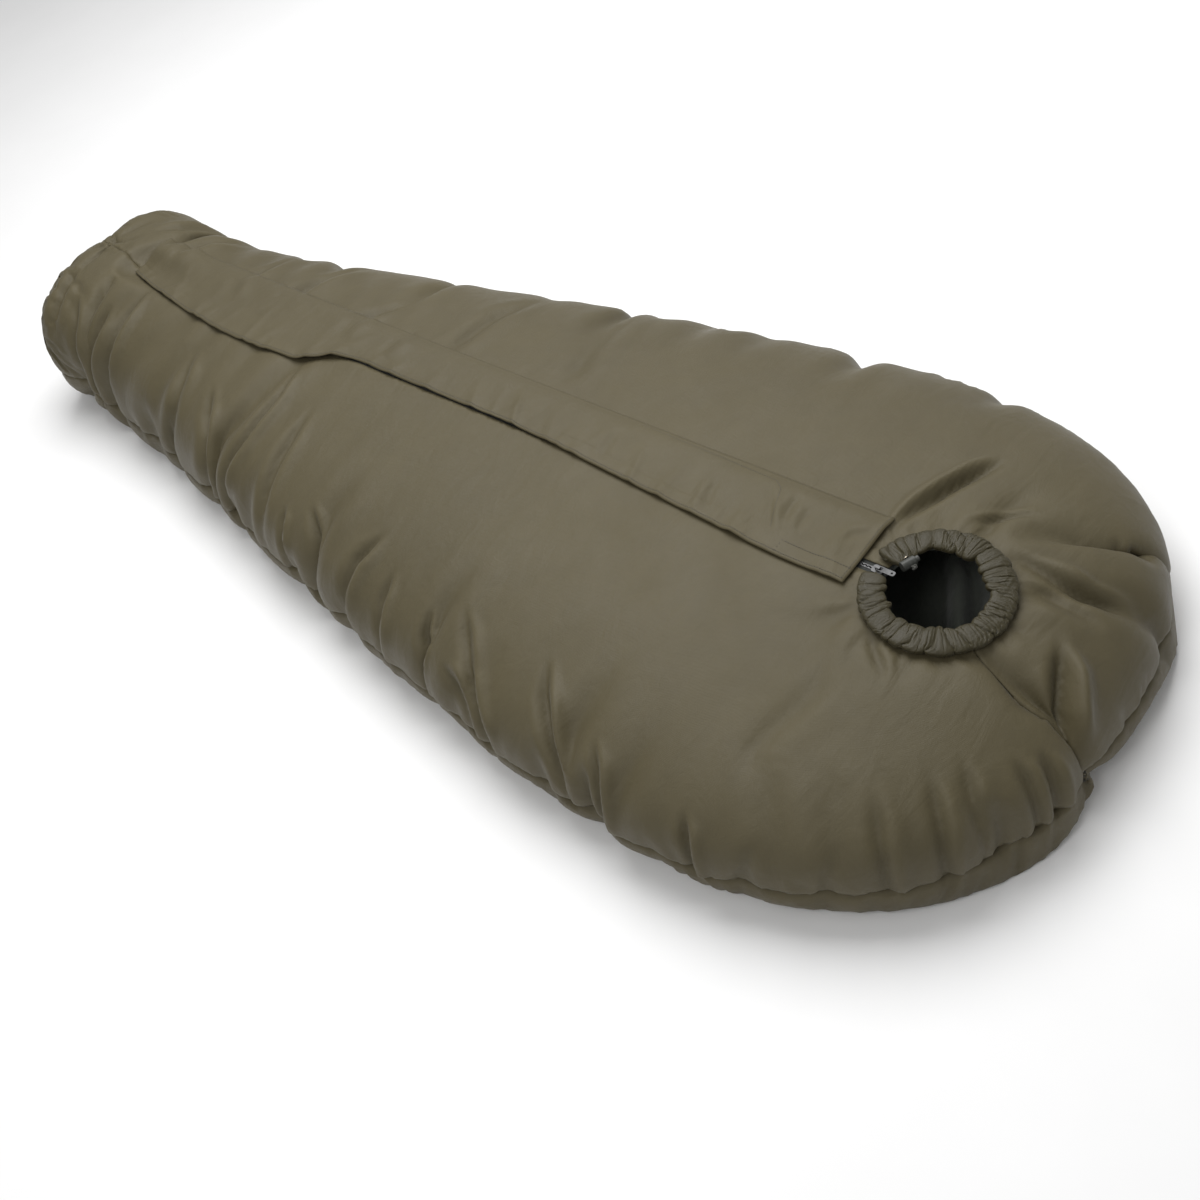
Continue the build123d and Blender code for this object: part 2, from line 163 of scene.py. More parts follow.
def within(y, margin):
    """y kept clear of the bag's two ends, where the outline has no width."""
    end = LENGTH / 2 - margin
    return np.clip(y, -end, end)


# ---------------------------------------------------------------- the camera
CAMERA_AZIMUTH, CAMERA_ELEVATION, CAMERA_ROLL = (math.radians(a) for a in (144.918, 46.109, -20.983))
CAMERA_DISTANCE, CAMERA_TARGET = 2.284, Vector((0.143, 0.294, 0.1))
CAMERA_LENS, CAMERA_SHIFT = 44.97, (0.0227, -0.0209)


def put(name, data):
    """A new object of the scene."""
    made = bpy.data.objects.new(name, data)
    bpy.context.scene.collection.objects.link(made)
    return made


def make_camera():
    az, el, roll = CAMERA_AZIMUTH, CAMERA_ELEVATION, CAMERA_ROLL
    back = Vector((math.sin(az) * math.cos(el), -math.cos(az) * math.cos(el), math.sin(el)))
    right = (-back).cross(UP).normalized()
    up = right.cross(-back)
    turned_right = math.cos(roll) * right + math.sin(roll) * up
    turned_up = -math.sin(roll) * right + math.cos(roll) * up
    data = bpy.data.cameras.new("camera")
    data.lens, data.sensor_width = CAMERA_LENS, 36
    data.shift_x, data.shift_y = CAMERA_SHIFT
    camera = put("camera", data)
    rotation = Matrix((turned_right, turned_up, back)).transposed().to_4x4()
    camera.matrix_world = Matrix.Translation(CAMERA_TARGET + back * CAMERA_DISTANCE) @ rotation
    bpy.context.scene.camera = camera


make_camera()


# ---------------------------------------------------------------- cloth panels
def spine_point(x, y):
    """The nearest point of the spine, and the unit direction and distance from it."""
    centre = np.clip(y, *SPINE)
    dx, dy = x, y - centre
    r = np.hypot(dx, dy)
    safe = np.maximum(r, 1e-9)
    return centre, dx / safe, dy / safe, r


def reach(centre, ux, uy):
    """How far the outline is from the spine along each direction."""
    low, high = np.zeros_like(centre), np.full_like(centre, OUTLINE_REACH)
    for _ in range(30):
        mid = (low + high) / 2
        x, y = mid * ux, centre + mid * uy
        inside = (np.abs(y) < LENGTH / 2) & (np.abs(x) < half_width(within(y, 0.0001)))
        low, high = np.where(inside, mid, low), np.where(inside, high, mid)
    return low


RAY_SHARES = 1 - (1 - np.linspace(0, 1, 49)) ** 2.5  # crowded at the rim, where the form is steep


def ray_table(height, centre, ux, uy):
    """Distances from the spine, and lengths over the surface, at shares of each ray."""
    r = reach(centre, ux, uy)[:, None] * RAY_SHARES
    x, y = r * ux[:, None], centre[:, None] + r * uy[:, None]
    z = height(x, within(y, 0.00001))
    steps = np.hypot(np.diff(r, axis=1), np.diff(z, axis=1))
    return r, np.concatenate([np.zeros((len(r), 1)), np.cumsum(steps, axis=1)], axis=1)


def along_rows(value, table_from, table_to):
    """np.interp, one row at a time."""
    i = np.clip((table_from < value[:, None]).sum(1), 1, table_from.shape[1] - 1)
    rows = np.arange(len(value))
    a, b = table_from[rows, i - 1], table_from[rows, i]
    t = np.clip((value - a) / np.maximum(b - a, 1e-12), 0, 1)
    return table_to[rows, i - 1] * (1 - t) + table_to[rows, i] * t


def unroll(height, x, y):
    """Plan points to the flat pattern, where lengths are near those over the surface."""
    centre, ux, uy, r = spine_point(x, y)
    radii, lengths = ray_table(height, centre, ux, uy)
    s = along_rows(r, radii, lengths)
    return s * ux, centre + s * uy


def roll_up(height, p, q):
    """Flat pattern points to plan points, and how far over the edge of the pattern they are."""
    centre, ux, uy, s = spine_point(p, q)
    radii, lengths = ray_table(height, centre, ux, uy)
    r = along_rows(s, lengths, radii)
    return r * ux, centre + r * uy, s - lengths[:, -1]


def outline(spacing):
    """Points along the perimeter seam, evenly spaced, from the foot round to the right and back."""
    y = FOOT_Y + LENGTH * (1 - np.cos(np.linspace(0, np.pi, 4001))) / 2
    x = half_width(y)
    steps = np.hypot(np.diff(x), np.diff(y))
    s = np.concatenate([[0], np.cumsum(steps)])
    at = np.linspace(0, s[-1], int(round(s[-1] / spacing)) + 1)
    xs, ys = np.interp(at, s, x), np.interp(at, s, y)
    return np.concatenate([xs, -xs[-2:0:-1]]), np.concatenate([ys, ys[-2:0:-1]])


def keyhole(spacing):
    """The slot of the zip and the face hole in plan, as one closed line."""
    meet = math.sqrt(HOLE_RADIUS ** 2 - SLOT_HALF ** 2)
    slot_y = np.arange(SLOT_FOOT_Y, RING_CENTRE[1] - meet - spacing / 2, spacing)
    start = math.atan2(-meet, SLOT_HALF)
    turns = np.linspace(start, start + 2 * math.pi - 2 * math.asin(SLOT_HALF / HOLE_RADIUS),
                        int(2 * math.pi * HOLE_RADIUS / (spacing * 0.5)))
    round_x, round_y = HOLE_RADIUS * np.cos(turns), RING_CENTRE[1] + HOLE_RADIUS * np.sin(turns)
    right, left = np.full_like(slot_y, SLOT_HALF), np.full_like(slot_y, -SLOT_HALF)
    return np.concatenate([right, round_x, left]), np.concatenate([slot_y, round_y, slot_y[::-1]])


def inside_polygon(x, y, px, py):
    """Which points lie inside a closed line."""
    result = np.zeros(len(x), bool)
    for i in range(len(px)):
        j = i - 1
        crosses = (py[i] > y) != (py[j] > y)
        if crosses.any():
            edge_x = px[i] + (y[crosses] - py[i]) * (px[j] - px[i]) / (py[j] - py[i])
            result[crosses] ^= x[crosses] < edge_x
    return result


def hex_lattice(p, q, spacing):
    """Points of equal triangles over the room that p and q take up."""
    rows = np.arange(q.min(), q.max(), spacing * math.sqrt(3) / 2)
    columns = np.arange(p.min(), p.max(), spacing)
    p, q = np.meshgrid(columns, rows)
    p[1::2] += spacing / 2
    return p.ravel(), q.ravel()


RIM_CLEARANCE, LINE_CLEARANCE, SEAM_CLEARANCE = 0.55, 0.6, 0.7  # of the lattice and the seams, in spacings


def cut_panel(height, rim, spacing, hole=None, seams=()):
    """A triangulated panel inside the rim: plan points, triangles, and how many points each loop has."""
    loops = [rim] if hole is None else [rim, hole]
    lines = loops + list(seams)
    flat = [unroll(height, *line) for line in lines]
    p, q = hex_lattice(*flat[0], spacing)
    x, y, over = roll_up(height, p, q)
    keep = over < -RIM_CLEARANCE * spacing
    for line in flat:
        near = np.full(len(x), np.inf)
        for a, b in zip(*line):
            near = np.minimum(near, (p - a) ** 2 + (q - b) ** 2)
        keep &= near > (LINE_CLEARANCE * spacing) ** 2
    if hole is not None:
        keep &= ~inside_polygon(p, q, *flat[1])
    p, q, x, y = p[keep], q[keep], x[keep], y[keep]
    points = [(a, b) for line in flat for a, b in zip(*line)]
    edges, start = [], 0
    for number, line in enumerate(lines):
        count = len(line[0])
        closed = number < len(loops)
        edges += [(start + i, start + (i + 1) % count) for i in range(count if closed else count - 1)]
        start += count
    points += list(zip(p, q))
    found = delaunay_2d_cdt([Vector(c) for c in points], edges, [], 0, 1e-7)
    if len(found[0]) != len(points):
        raise ValueError("the panel's outline crosses itself")
    source = np.array([origins[0] for origins in found[3]])
    triangles = source[np.array(found[2])]
    plan_x = np.concatenate([line[0] for line in lines] + [x])
    plan_y = np.concatenate([line[1] for line in lines] + [y])
    middle = np.array(points)[triangles].mean(1).T
    keep = inside_polygon(*middle, *flat[0])
    if hole is not None:
        keep &= ~inside_polygon(*middle, *flat[1])
    return plan_x, plan_y, triangles[keep], [len(line[0]) for line in loops]


# Seams inside the upper panels and the base, in plan.
HOOD_SEAM = [(0.038, 0.910), (0.055, 0.934), (0.071, 0.965), (0.088, 1.001), (0.096, 1.030), (0.094, 1.095)]
FOOT_PANEL_Y = -1.055


def seam_lines(spacing, upper):
    """Evenly spaced plan points along the seams, clear of the rim and the hole."""
    half = float(half_width(FOOT_PANEL_Y)) - spacing
    lines = [[(-half, FOOT_PANEL_Y), (half, FOOT_PANEL_Y)]]
    if upper:
        lines += [HOOD_SEAM, [(0.0, SLOT_FOOT_Y - spacing), (0.0, FOOT_PANEL_Y + spacing)]]
    result = []
    for line in lines:
        x, y = along(line, int(round(arc_lengths(line)[-1] / spacing)) + 1).T
        room = SEAM_CLEARANCE * spacing
        clear = ring_distance(x, y) > HOLE_RADIUS + room
        clear &= half_width(within(y, 0.001)) - np.abs(x) > room
        clear &= np.abs(y) < LENGTH / 2 - room
        result.append((x[clear], y[clear]))
    return result


# ---------------------------------------------------------------- the cloth solver
def colour_edges(edges, count):
    """Groups of edges in which no point comes twice, so that a group can move at once."""
    rng = np.random.default_rng(1)
    left, groups = np.arange(len(edges)), []
    while len(left):
        taken = np.zeros(count, bool)
        group, open_edges = [], left
        while len(open_edges):
            rank = rng.permutation(len(open_edges))
            best = np.full(count, len(open_edges))
            a, b = edges[open_edges].T
            np.minimum.at(best, a, rank)
            np.minimum.at(best, b, rank)
            chosen = (best[a] == rank) & (best[b] == rank)
            group.append(open_edges[chosen])
            taken[a[chosen]] = True
            taken[b[chosen]] = True
            open_edges = open_edges[~(taken[a] | taken[b])]
        group = np.concatenate(group)
        groups.append(group)
        left = np.setdiff1d(left, group)
    return groups


def mesh_edges(triangles):
    """Each edge once, as a pair of points."""
    starts, ends = triangles.ravel().astype(np.int64), np.roll(triangles, -1, axis=1).ravel()
    count = triangles.max() + 1
    keys = np.unique(np.minimum(starts, ends) * count + np.maximum(starts, ends))
    return np.stack([keys // count, keys % count], 1)


def unit(vectors):
    return vectors / np.linalg.norm(vectors, axis=-1, keepdims=True)


def point_normals(co, triangles):
    a, b, c = co[triangles[:, 0]], co[triangles[:, 1]], co[triangles[:, 2]]
    face = np.cross(b - a, c - a)
    total = np.zeros_like(co)
    for k in range(3):
        for axis in range(3):
            total[:, axis] += np.bincount(triangles[:, k], face[:, axis], len(co))
    return total / np.maximum(np.linalg.norm(total, axis=1, keepdims=True), 1e-12)


class Smoother:
    """Averages a field over each point's neighbours."""

    def __init__(self, edges, count):
        self.edges, self.count = edges, count
        self.degree = np.bincount(edges.ravel(), minlength=count)[:, None]

    def average(self, field):
        a, b = self.edges.T
        total = np.empty_like(field)
        for axis in range(field.shape[1]):
            total[:, axis] = (np.bincount(a, field[b, axis], self.count)
                              + np.bincount(b, field[a, axis], self.count))
        return total / self.degree


LENGTH_ROUNDS, STIFFNESS, DAMPING = 3, 0.9, 0.9


def relax(target, triangles, stretch, pinned, *, steps, hold, bend, noise, inward, outward, seed,
          sideways=0.03, floor=None):
    """Cloth that is longer than the form under it: it buckles into folds, on a soft fill.

    stretch gives each edge's length over its length on the target. hold is the fill's pull back to the target
    along the normal, bend smooths the folds, and noise is the size of the bumps that start them. inward,
    outward and sideways cap how far a point may leave its place."""
    count = len(target)
    edges = mesh_edges(triangles)
    rest = np.linalg.norm(target[edges[:, 0]] - target[edges[:, 1]], axis=1) * stretch(edges)
    free = np.where(pinned, 0.0, 1.0)
    groups = []
    for group in colour_edges(edges, count):
        a, b = edges[group].T
        weight = np.maximum(free[a] + free[b], 1e-9)
        groups.append((a, b, rest[group], (free[a] / weight)[:, None], (free[b] / weight)[:, None]))
    smoother = Smoother(edges, count)
    normal = point_normals(target, triangles)
    rng = np.random.default_rng(seed)
    bumps = rng.normal(size=(count, 1))
    for _ in range(4):
        bumps = smoother.average(bumps)
    now = target + normal * free[:, None] * bumps / np.abs(bumps).max() * noise
    before = now.copy()
    moving = free[:, None]
    for _ in range(steps):
        now, before = now + moving * (DAMPING * (now - before)), now
        for _ in range(LENGTH_ROUNDS):
            for a, b, length, share_a, share_b in groups:
                apart = now[b] - now[a]
                size = np.maximum(np.sqrt((apart * apart).sum(1)), 1e-9)
                apart *= (STIFFNESS * (size - length) / size)[:, None]
                now[a] += share_a * apart
                now[b] -= share_b * apart
            moved = now - target
            moved += moving * bend * (smoother.average(moved) - moved)
            out = (moved * normal).sum(1, keepdims=True)
            flat = moved - out * normal
            out = np.clip(out * (1 - hold), -inward, outward)
            size = np.linalg.norm(flat, axis=1, keepdims=True)
            flat *= np.minimum(1, sideways / np.maximum(size, 1e-9))
            now = target + moving * (out * normal + flat)
            if floor is not None:
                now[:, 2] = np.maximum(now[:, 2], floor)
    return now


# ---------------------------------------------------------------- the sewn cloth
def sew(spacing, base_spacing):
    """The upper and base panels, joined along the rim."""
    rim = outline(spacing)
    hole, seams, base_seams = keyhole(spacing), seam_lines(spacing, True), seam_lines(base_spacing, False)
    x, y, triangles, (rim_count, hole_count) = cut_panel(top_z, rim, spacing, hole, seams)
    base_x, base_y, base_triangles, _ = cut_panel(base_z, rim, base_spacing, seams=base_seams)
    upper_count = len(x)
    joined = np.concatenate([np.arange(rim_count), upper_count + np.arange(len(base_x) - rim_count)])
    upper = np.stack([x, y, shell_z(x, y)], 1)
    base = np.stack([base_x, base_y, base_z(base_x, base_y)], 1)
    co = np.concatenate([upper, base[rim_count:]])
    co[:rim_count, 2] = seam_z(co[:rim_count, 1])
    return SimpleNamespace(
        co=co,
        triangles=np.concatenate([triangles, joined[base_triangles][:, ::-1]]),
        upper=np.arange(len(co)) < upper_count,
        upper_faces=len(triangles),
        rim=np.arange(rim_count),
        hole=np.arange(rim_count, rim_count + hole_count),
    )


def ring_distance(x, y):
    return np.hypot(x, y - RING_CENTRE[1])


def slot_distance(x, y):
    """From the slot of the zip, in plan."""
    across = np.maximum(np.abs(x) - SLOT_HALF, 0)
    beyond = np.maximum(SLOT_FOOT_Y - y, 0) + np.maximum(y - RING_CENTRE[1], 0)
    return np.hypot(across, beyond)


def keyhole_distance(x, y):
    return np.minimum(np.maximum(ring_distance(x, y) - HOLE_RADIUS, 0), slot_distance(x, y))


LEGS_RANGE = (-0.25, 0.35)  # from the chest to the foot, the legs' extra cloth comes in over this stretch


def extra_cloth(cloth, face, rim, zip_line, legs, foot, all_over):
    """How much longer each edge is cut than the form: near the face opening, the rim, the zip and the foot,
    as (share, reach), and over the legs and all over."""
    def stretch(edges):
        a, b = cloth.co[edges[:, 0]], cloth.co[edges[:, 1]]
        run = unit(b - a)
        x, y = ((a + b) / 2)[:, :2].T
        centre, ux, uy, r = spine_point(x, y)
        round_rim = (-uy * run[:, 0] + ux * run[:, 1]) ** 2
        from_ring = np.maximum(ring_distance(x, y), 1e-6)
        round_face = ((x * run[:, 1] - (y - RING_CENTRE[1]) * run[:, 0]) / from_ring) ** 2
        upper = cloth.upper[edges].all(1)
        at_face = face[0] * np.exp(-(from_ring - HOLE_RADIUS) / face[1]) * upper
        to_rim = 1 - r / np.maximum(reach(centre, ux, uy), 1e-6)
        at_rim = rim[0] * np.exp(-to_rim / rim[1])
        at_zip = zip_line[0] * np.exp(-slot_distance(x, y) / zip_line[1]) * upper
        along_legs = legs * ramp(-y, *LEGS_RANGE)
        at_foot = foot[0] * ramp(-y, LENGTH / 2 - foot[1], LENGTH / 2)
        return 1 + at_face * round_face + (at_rim + at_zip + all_over + along_legs) * round_rim + at_foot
    return stretch


# Folds of the shell: points along each one in plan, its depth, its half width, and how sharp it is.
FOLDS = [
    # on the hood, out from the face opening
    (((-0.040, 0.735), (-0.091, 0.737), (-0.168, 0.753), (-0.263, 0.784)), 0.018, 0.008, 1),
    (((-0.105, 0.800), (-0.153, 0.845), (-0.195, 0.885)), 0.005, 0.005, 1),
    (((-0.105, 0.885), (-0.101, 0.938), (-0.092, 0.995), (-0.104, 1.070)), 0.014, 0.009, 1),
    (((-0.075, 0.930), (-0.062, 0.985), (-0.060, 1.040)), 0.006, 0.010, 0),
    (((-0.255, 0.955), (-0.222, 1.006), (-0.195, 1.055)), 0.009, 0.009, 1),
    (((-0.020, 0.995), (0.016, 1.026), (0.050, 1.051), (0.078, 1.078)), 0.024, 0.010, 1),
    (((0.150, 1.035), (0.172, 1.066), (0.195, 1.095)), 0.011, 0.008, 1),
    (((0.175, 1.015), (0.194, 1.050), (0.215, 1.085)), 0.008, 0.008, 1),
    (((0.225, 1.000), (0.255, 1.035), (0.275, 1.060)), 0.007, 0.013, 0),
    (((0.075, 0.785), (0.114, 0.824), (0.140, 0.855)), 0.005, 0.006, 1),
    (((0.110, 0.765), (0.188, 0.779), (0.241, 0.765), (0.292, 0.753), (0.350, 0.775)), 0.004, 0.015, 0),
    (((0.250, 0.845), (0.322, 0.874), (0.400, 0.915)), 0.003, 0.020, 0),
    (((0.280, 0.770), (0.370, 0.818), (0.430, 0.850)), 0.003, 0.020, 0),
    (((0.225, 0.940), (0.290, 0.985), (0.330, 1.010)), 0.007, 0.008, 1),
    (((0.195, 0.965), (0.255, 1.010), (0.290, 1.040)), 0.007, 0.008, 1),
    (((0.270, 0.895), (0.335, 0.935), (0.375, 0.965)), 0.006, 0.009, 1),
    # the near side, up from the seam
    (((0.400, 0.715), (0.438, 0.733), (0.460, 0.745)), 0.009, 0.007, 1),
    (((0.300, 0.245), (0.347, 0.290), (0.408, 0.345), (0.430, 0.370)), 0.009, 0.008, 1),
    (((0.263, -0.142), (0.316, -0.100), (0.357, -0.081)), 0.009, 0.007, 1),
    (((0.280, -0.190), (0.325, -0.178), (0.352, -0.170)), 0.009, 0.006, 1),
    (((0.110, -0.980), (0.160, -0.975), (0.215, -0.985)), 0.006, 0.008, 1),
    (((0.060, -1.010), (0.120, -1.020), (0.190, -1.030)), 0.005, 0.009, 0),
    (((-0.060, -0.960), (-0.120, -0.950), (-0.190, -0.965)), 0.006, 0.009, 1),
    (((0.380, 0.555), (0.433, 0.588), (0.475, 0.620)), 0.010, 0.008, 1),
    (((0.310, 0.420), (0.364, 0.447), (0.414, 0.483), (0.465, 0.530)), 0.017, 0.009, 1),
    (((0.365, 0.300), (0.414, 0.347), (0.455, 0.395)), 0.011, 0.007, 1),
    (((0.385, 0.265), (0.421, 0.326), (0.450, 0.360)), 0.009, 0.008, 1),
    (((0.325, 0.188), (0.371, 0.193), (0.398, 0.214), (0.440, 0.228)), 0.012, 0.008, 1),
    (((0.300, 0.090), (0.350, 0.092), (0.410, 0.104)), 0.010, 0.008, 1),
    (((0.255, 0.040), (0.317, 0.014), (0.390, 0.010)), 0.014, 0.010, 1),
    (((0.110, -0.268), (0.207, -0.254), (0.275, -0.244), (0.350, -0.228)), 0.010, 0.010, 0),
    (((0.045, -0.370), (0.131, -0.348), (0.225, -0.346), (0.292, -0.353), (0.340, -0.385)), 0.013, 0.009, 1),
    (((0.150, -0.510), (0.237, -0.463), (0.320, -0.450)), 0.012, 0.010, 1),
    (((0.105, -0.605), (0.180, -0.580), (0.270, -0.560)), 0.008, 0.012, 0),
    (((0.035, -0.822), (0.126, -0.808), (0.171, -0.800), (0.240, -0.796)), 0.014, 0.010, 1),
    (((0.095, -0.862), (0.164, -0.850), (0.240, -0.852)), 0.011, 0.009, 1),
    (((0.080, -0.940), (0.150, -0.925), (0.230, -0.930)), 0.008, 0.012, 0),
    # across the flap and down the far side
    (((-0.170, -0.295), (-0.093, -0.342), (0.000, -0.350)), 0.007, 0.012, 0),
    (((-0.110, -0.225), (-0.007, -0.236), (0.030, -0.212)), 0.006, 0.009, 1),
    (((-0.190, -0.640), (-0.057, -0.664), (0.030, -0.622)), 0.007, 0.012, 0),
    (((-0.240, -0.480), (-0.140, -0.520), (-0.030, -0.540)), 0.008, 0.013, 0),
    (((-0.200, -0.780), (-0.120, -0.830), (-0.030, -0.850)), 0.008, 0.012, 1),
    (((-0.300, -0.100), (-0.200, -0.130), (-0.060, -0.140)), 0.008, 0.015, 0),
    (((-0.330, 0.090), (-0.200, 0.085), (-0.090, 0.110)), 0.006, 0.018, 0),
]


def arc_lengths(points):
    """How far along a line each of its points is."""
    return np.concatenate([[0], np.cumsum(np.linalg.norm(np.diff(points, axis=0), axis=1))])


def along(points, count):
    """Evenly spaced points on the straight runs between a few."""
    points = np.array(points, float)
    s = arc_lengths(points)
    at = np.linspace(0, s[-1], count)
    return np.stack([np.interp(at, s, column) for column in points.T], 1)


FADE_IN, FADE_OUT = (0, 0.45), (0.7, 1)  # the shares of its length over which a fold starts and ends
NARROW_START, NARROW_UNTIL = 0.5, 0.4  # its width at its start, and the share of its length where it's full
SHARP_POWER, SOFT_POWER = 1.25, 2.0
SHOULDER_PLACE, SHOULDER_WIDTH = 2.0, 1.2  # in half widths of the valley
SHOULDER_HEIGHT, SHOULDER_LEAN, SOFT_LEAN = 0.42, 0.28, 0.4  # one is that much higher, and the other lower


def fold_height(x, y, points, depth, width, sharp):
    """A valley that fades out at its ends, with a high shoulder on one side and a low one on the other."""
    line = along(points, 40)
    ahead = unit(np.gradient(line, axis=0))
    apart = np.full(len(x), np.inf)
    side, nearest = np.zeros(len(x)), np.zeros(len(x))
    for i, ((a, b), (run_x, run_y)) in enumerate(zip(line, ahead)):
        d = np.hypot(x - a, y - b)
        closer = d < apart
        apart[closer] = d[closer]
        nearest[closer] = i / (len(line) - 1)
        side[closer] = np.sign(run_x * (y[closer] - b) - run_y * (x[closer] - a))
    fade = ramp(nearest, *FADE_IN) * (1 - ramp(nearest, *FADE_OUT))
    apart = apart / (NARROW_START + (1 - NARROW_START) * ramp(nearest, 0, NARROW_UNTIL))
    valley = np.exp(-(apart / width) ** (SHARP_POWER if sharp else SOFT_POWER))
    high = SHOULDER_HEIGHT + SHOULDER_LEAN * side * (1 if sharp else SOFT_LEAN)
    shoulders = np.exp(-((apart - SHOULDER_PLACE * width) / (SHOULDER_WIDTH * width)) ** 2) * high
    return depth * fade * (shoulders - valley)


def tree_of(co, triangles):
    return BVHTree.FromPolygons(co.tolist(), triangles.tolist())


def point_tree(points):
    tree = KDTree(len(points))
    for i, point in enumerate(points):
        tree.insert(point, i)
    tree.balance()
    return tree


def carry(from_points, values, to_points):
    """Values at other points, from the nearest four."""
    tree = point_tree(from_points)
    result = np.empty((len(to_points), values.shape[1]))
    for i, point in enumerate(to_points):
        found = tree.find_n(point, 4)
        weight = np.array([1 / (d + 0.002) ** 2 for _, _, d in found])
        result[i] = weight @ values[[k for _, k, _ in found]] / weight.sum()
    return result


FLAP_ROOM, FLAP_MIDDLE_X, FLAP_END_Y = 0.095, -0.015, 0.75  # the shell lies flatter under the storm flap
CASING_ROOM = (0.100, 0.118)  # and under the face casing, which ends between these distances
SEWN_ROOM, FREE_FROM = 0.004, 0.05  # from the zip and the face opening: no folds up to here, all from there
HELD_BY_FLAP, HELD_BY_CASING, LEAST_INWARD = 0.6, 0.9, 0.1


def fold_limits(cloth, inward, outward):
    """How far each point may move: little beside the zip, under the flap and under the face casing."""
    x, y = cloth.co[:, 0], cloth.co[:, 1]
    free = ramp(keyhole_distance(x, y), SEWN_ROOM, FREE_FROM)
    under_flap = (1 - ramp(np.abs(x - FLAP_MIDDLE_X), 0.5 * FLAP_ROOM, FLAP_ROOM)) * (y < FLAP_END_Y)
    under_casing = 1 - ramp(ring_distance(x, y), *CASING_ROOM)
    held = np.maximum(HELD_BY_FLAP * under_flap, HELD_BY_CASING * under_casing) * cloth.upper
    free = np.where(cloth.upper, free, 1)
    inward_share = LEAST_INWARD + (1 - LEAST_INWARD) * free
    return (inward * inward_share)[:, None], (outward * free * (1 - held))[:, None]


# Each pass of the shell's simulation, on an ever finer cloth: spacing, base spacing, steps, hold, bend,
# noise, how far the cloth may go in and out, and the extra cloth as extra_cloth takes it.
PASSES = [
    (0.0250, 0.0290, 110, 0.010, 0.20, 0.006, 0.022, 0.004,
     ((0.16, 0.12), (0.16, 0.28), (0.00, 0.10), 0.05, (0.06, 0.20), 0.03)),
    (0.0120, 0.0160, 80, 0.014, 0.16, 0.003, 0.010, 0.003,
     ((0.22, 0.08), (0.12, 0.16), (0.03, 0.06), 0.03, (0.16, 0.20), 0.02)),
    (0.0062, 0.0105, 50, 0.020, 0.12, 0.0015, 0.006, 0.003,
     ((0.25, 0.04), (0.10, 0.08), (0.04, 0.04), 0.01, (0.14, 0.20), 0.01)),
]
SHRINK = 0.005  # the form lies this far inside the outline, and the folds' crests come out to it
HOOD_SEAM_DIP = (0.0035, 0.005, 1)
RIM_SEAM_DIP = 0.0035


def simulate_shell():
    """The shell in passes, each on a finer cloth: long soft folds, then shorter ones, then small puckers."""
    cloth = shape = None
    for number, (spacing, base_spacing, steps, hold, bend, noise, *limits, extra) in enumerate(PASSES):
        coarser, before = cloth, shape
        cloth = sew(spacing, base_spacing)
        x, y = cloth.co[:, 0], cloth.co[:, 1]
        target = cloth.co.copy()
        smoother = Smoother(mesh_edges(cloth.triangles), len(cloth.co))
        normal = point_normals(cloth.co, cloth.triangles)
        if coarser is None:
            shrink = SHRINK * ramp(keyhole_distance(x, y), 0.03, 0.15) * cloth.upper
            target -= shrink[:, None] * normal
        else:
            moved = carry(coarser.co, before - coarser.co, cloth.co)
            for _ in range(3):
                moved = smoother.average(moved)
            past_hole = ramp(keyhole_distance(x, y), 0.0, FREE_FROM)
            target += moved * np.where(cloth.upper, past_hole, 1)[:, None]
        if number == len(PASSES) - 1:
            height = sum(fold_height(x, y, *fold) for fold in FOLDS)
            height += fold_height(x, y, HOOD_SEAM, *HOOD_SEAM_DIP)
            height *= ramp(keyhole_distance(x, y), SEWN_ROOM, 0.03) * cloth.upper
            target += height[:, None] * normal
        target[:, 2] = np.maximum(target[:, 2], 0)
        pinned = np.isin(np.arange(len(cloth.co)), cloth.hole)
        inward, outward = fold_limits(cloth, *limits)
        steps = steps
        shape = relax(target, cloth.triangles, extra_cloth(cloth, *extra), pinned, steps=steps, hold=hold,
                      bend=bend, noise=noise, inward=inward, outward=outward, floor=0.0, seed=11 + number)
    at_seam = np.isin(np.arange(len(cloth.co)), cloth.rim).astype(float)[:, None]
    at_seam += smoother.average(at_seam)
    shape -= RIM_SEAM_DIP * at_seam * point_normals(shape, cloth.triangles)
    shape[:, 2] = np.maximum(shape[:, 2], 0)
    return cloth, shape


# ---------------------------------------------------------------- pieces
def build(name, co, faces, material, slot, replaces=(), body="bag"):
    """Makes one piece of the object from points and faces. A piece without a body is left unattached."""
    mesh = bpy.data.meshes.new(name)
    mesh.from_pydata(np.asarray(co).tolist(), [], faces if isinstance(faces, list) else faces.tolist())
    mesh.polygons.foreach_set("use_smooth", [True] * len(mesh.polygons))
    mesh.materials.append(material)
    piece = put(name, mesh)
    if body:
        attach(piece, body)
    if replaces:
        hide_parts(*replaces)
    return piece


def summed(index, values, count):
    """The sum of the rows of values at each index."""
    return np.stack([np.bincount(index, column, count) for column in values.T], 1)


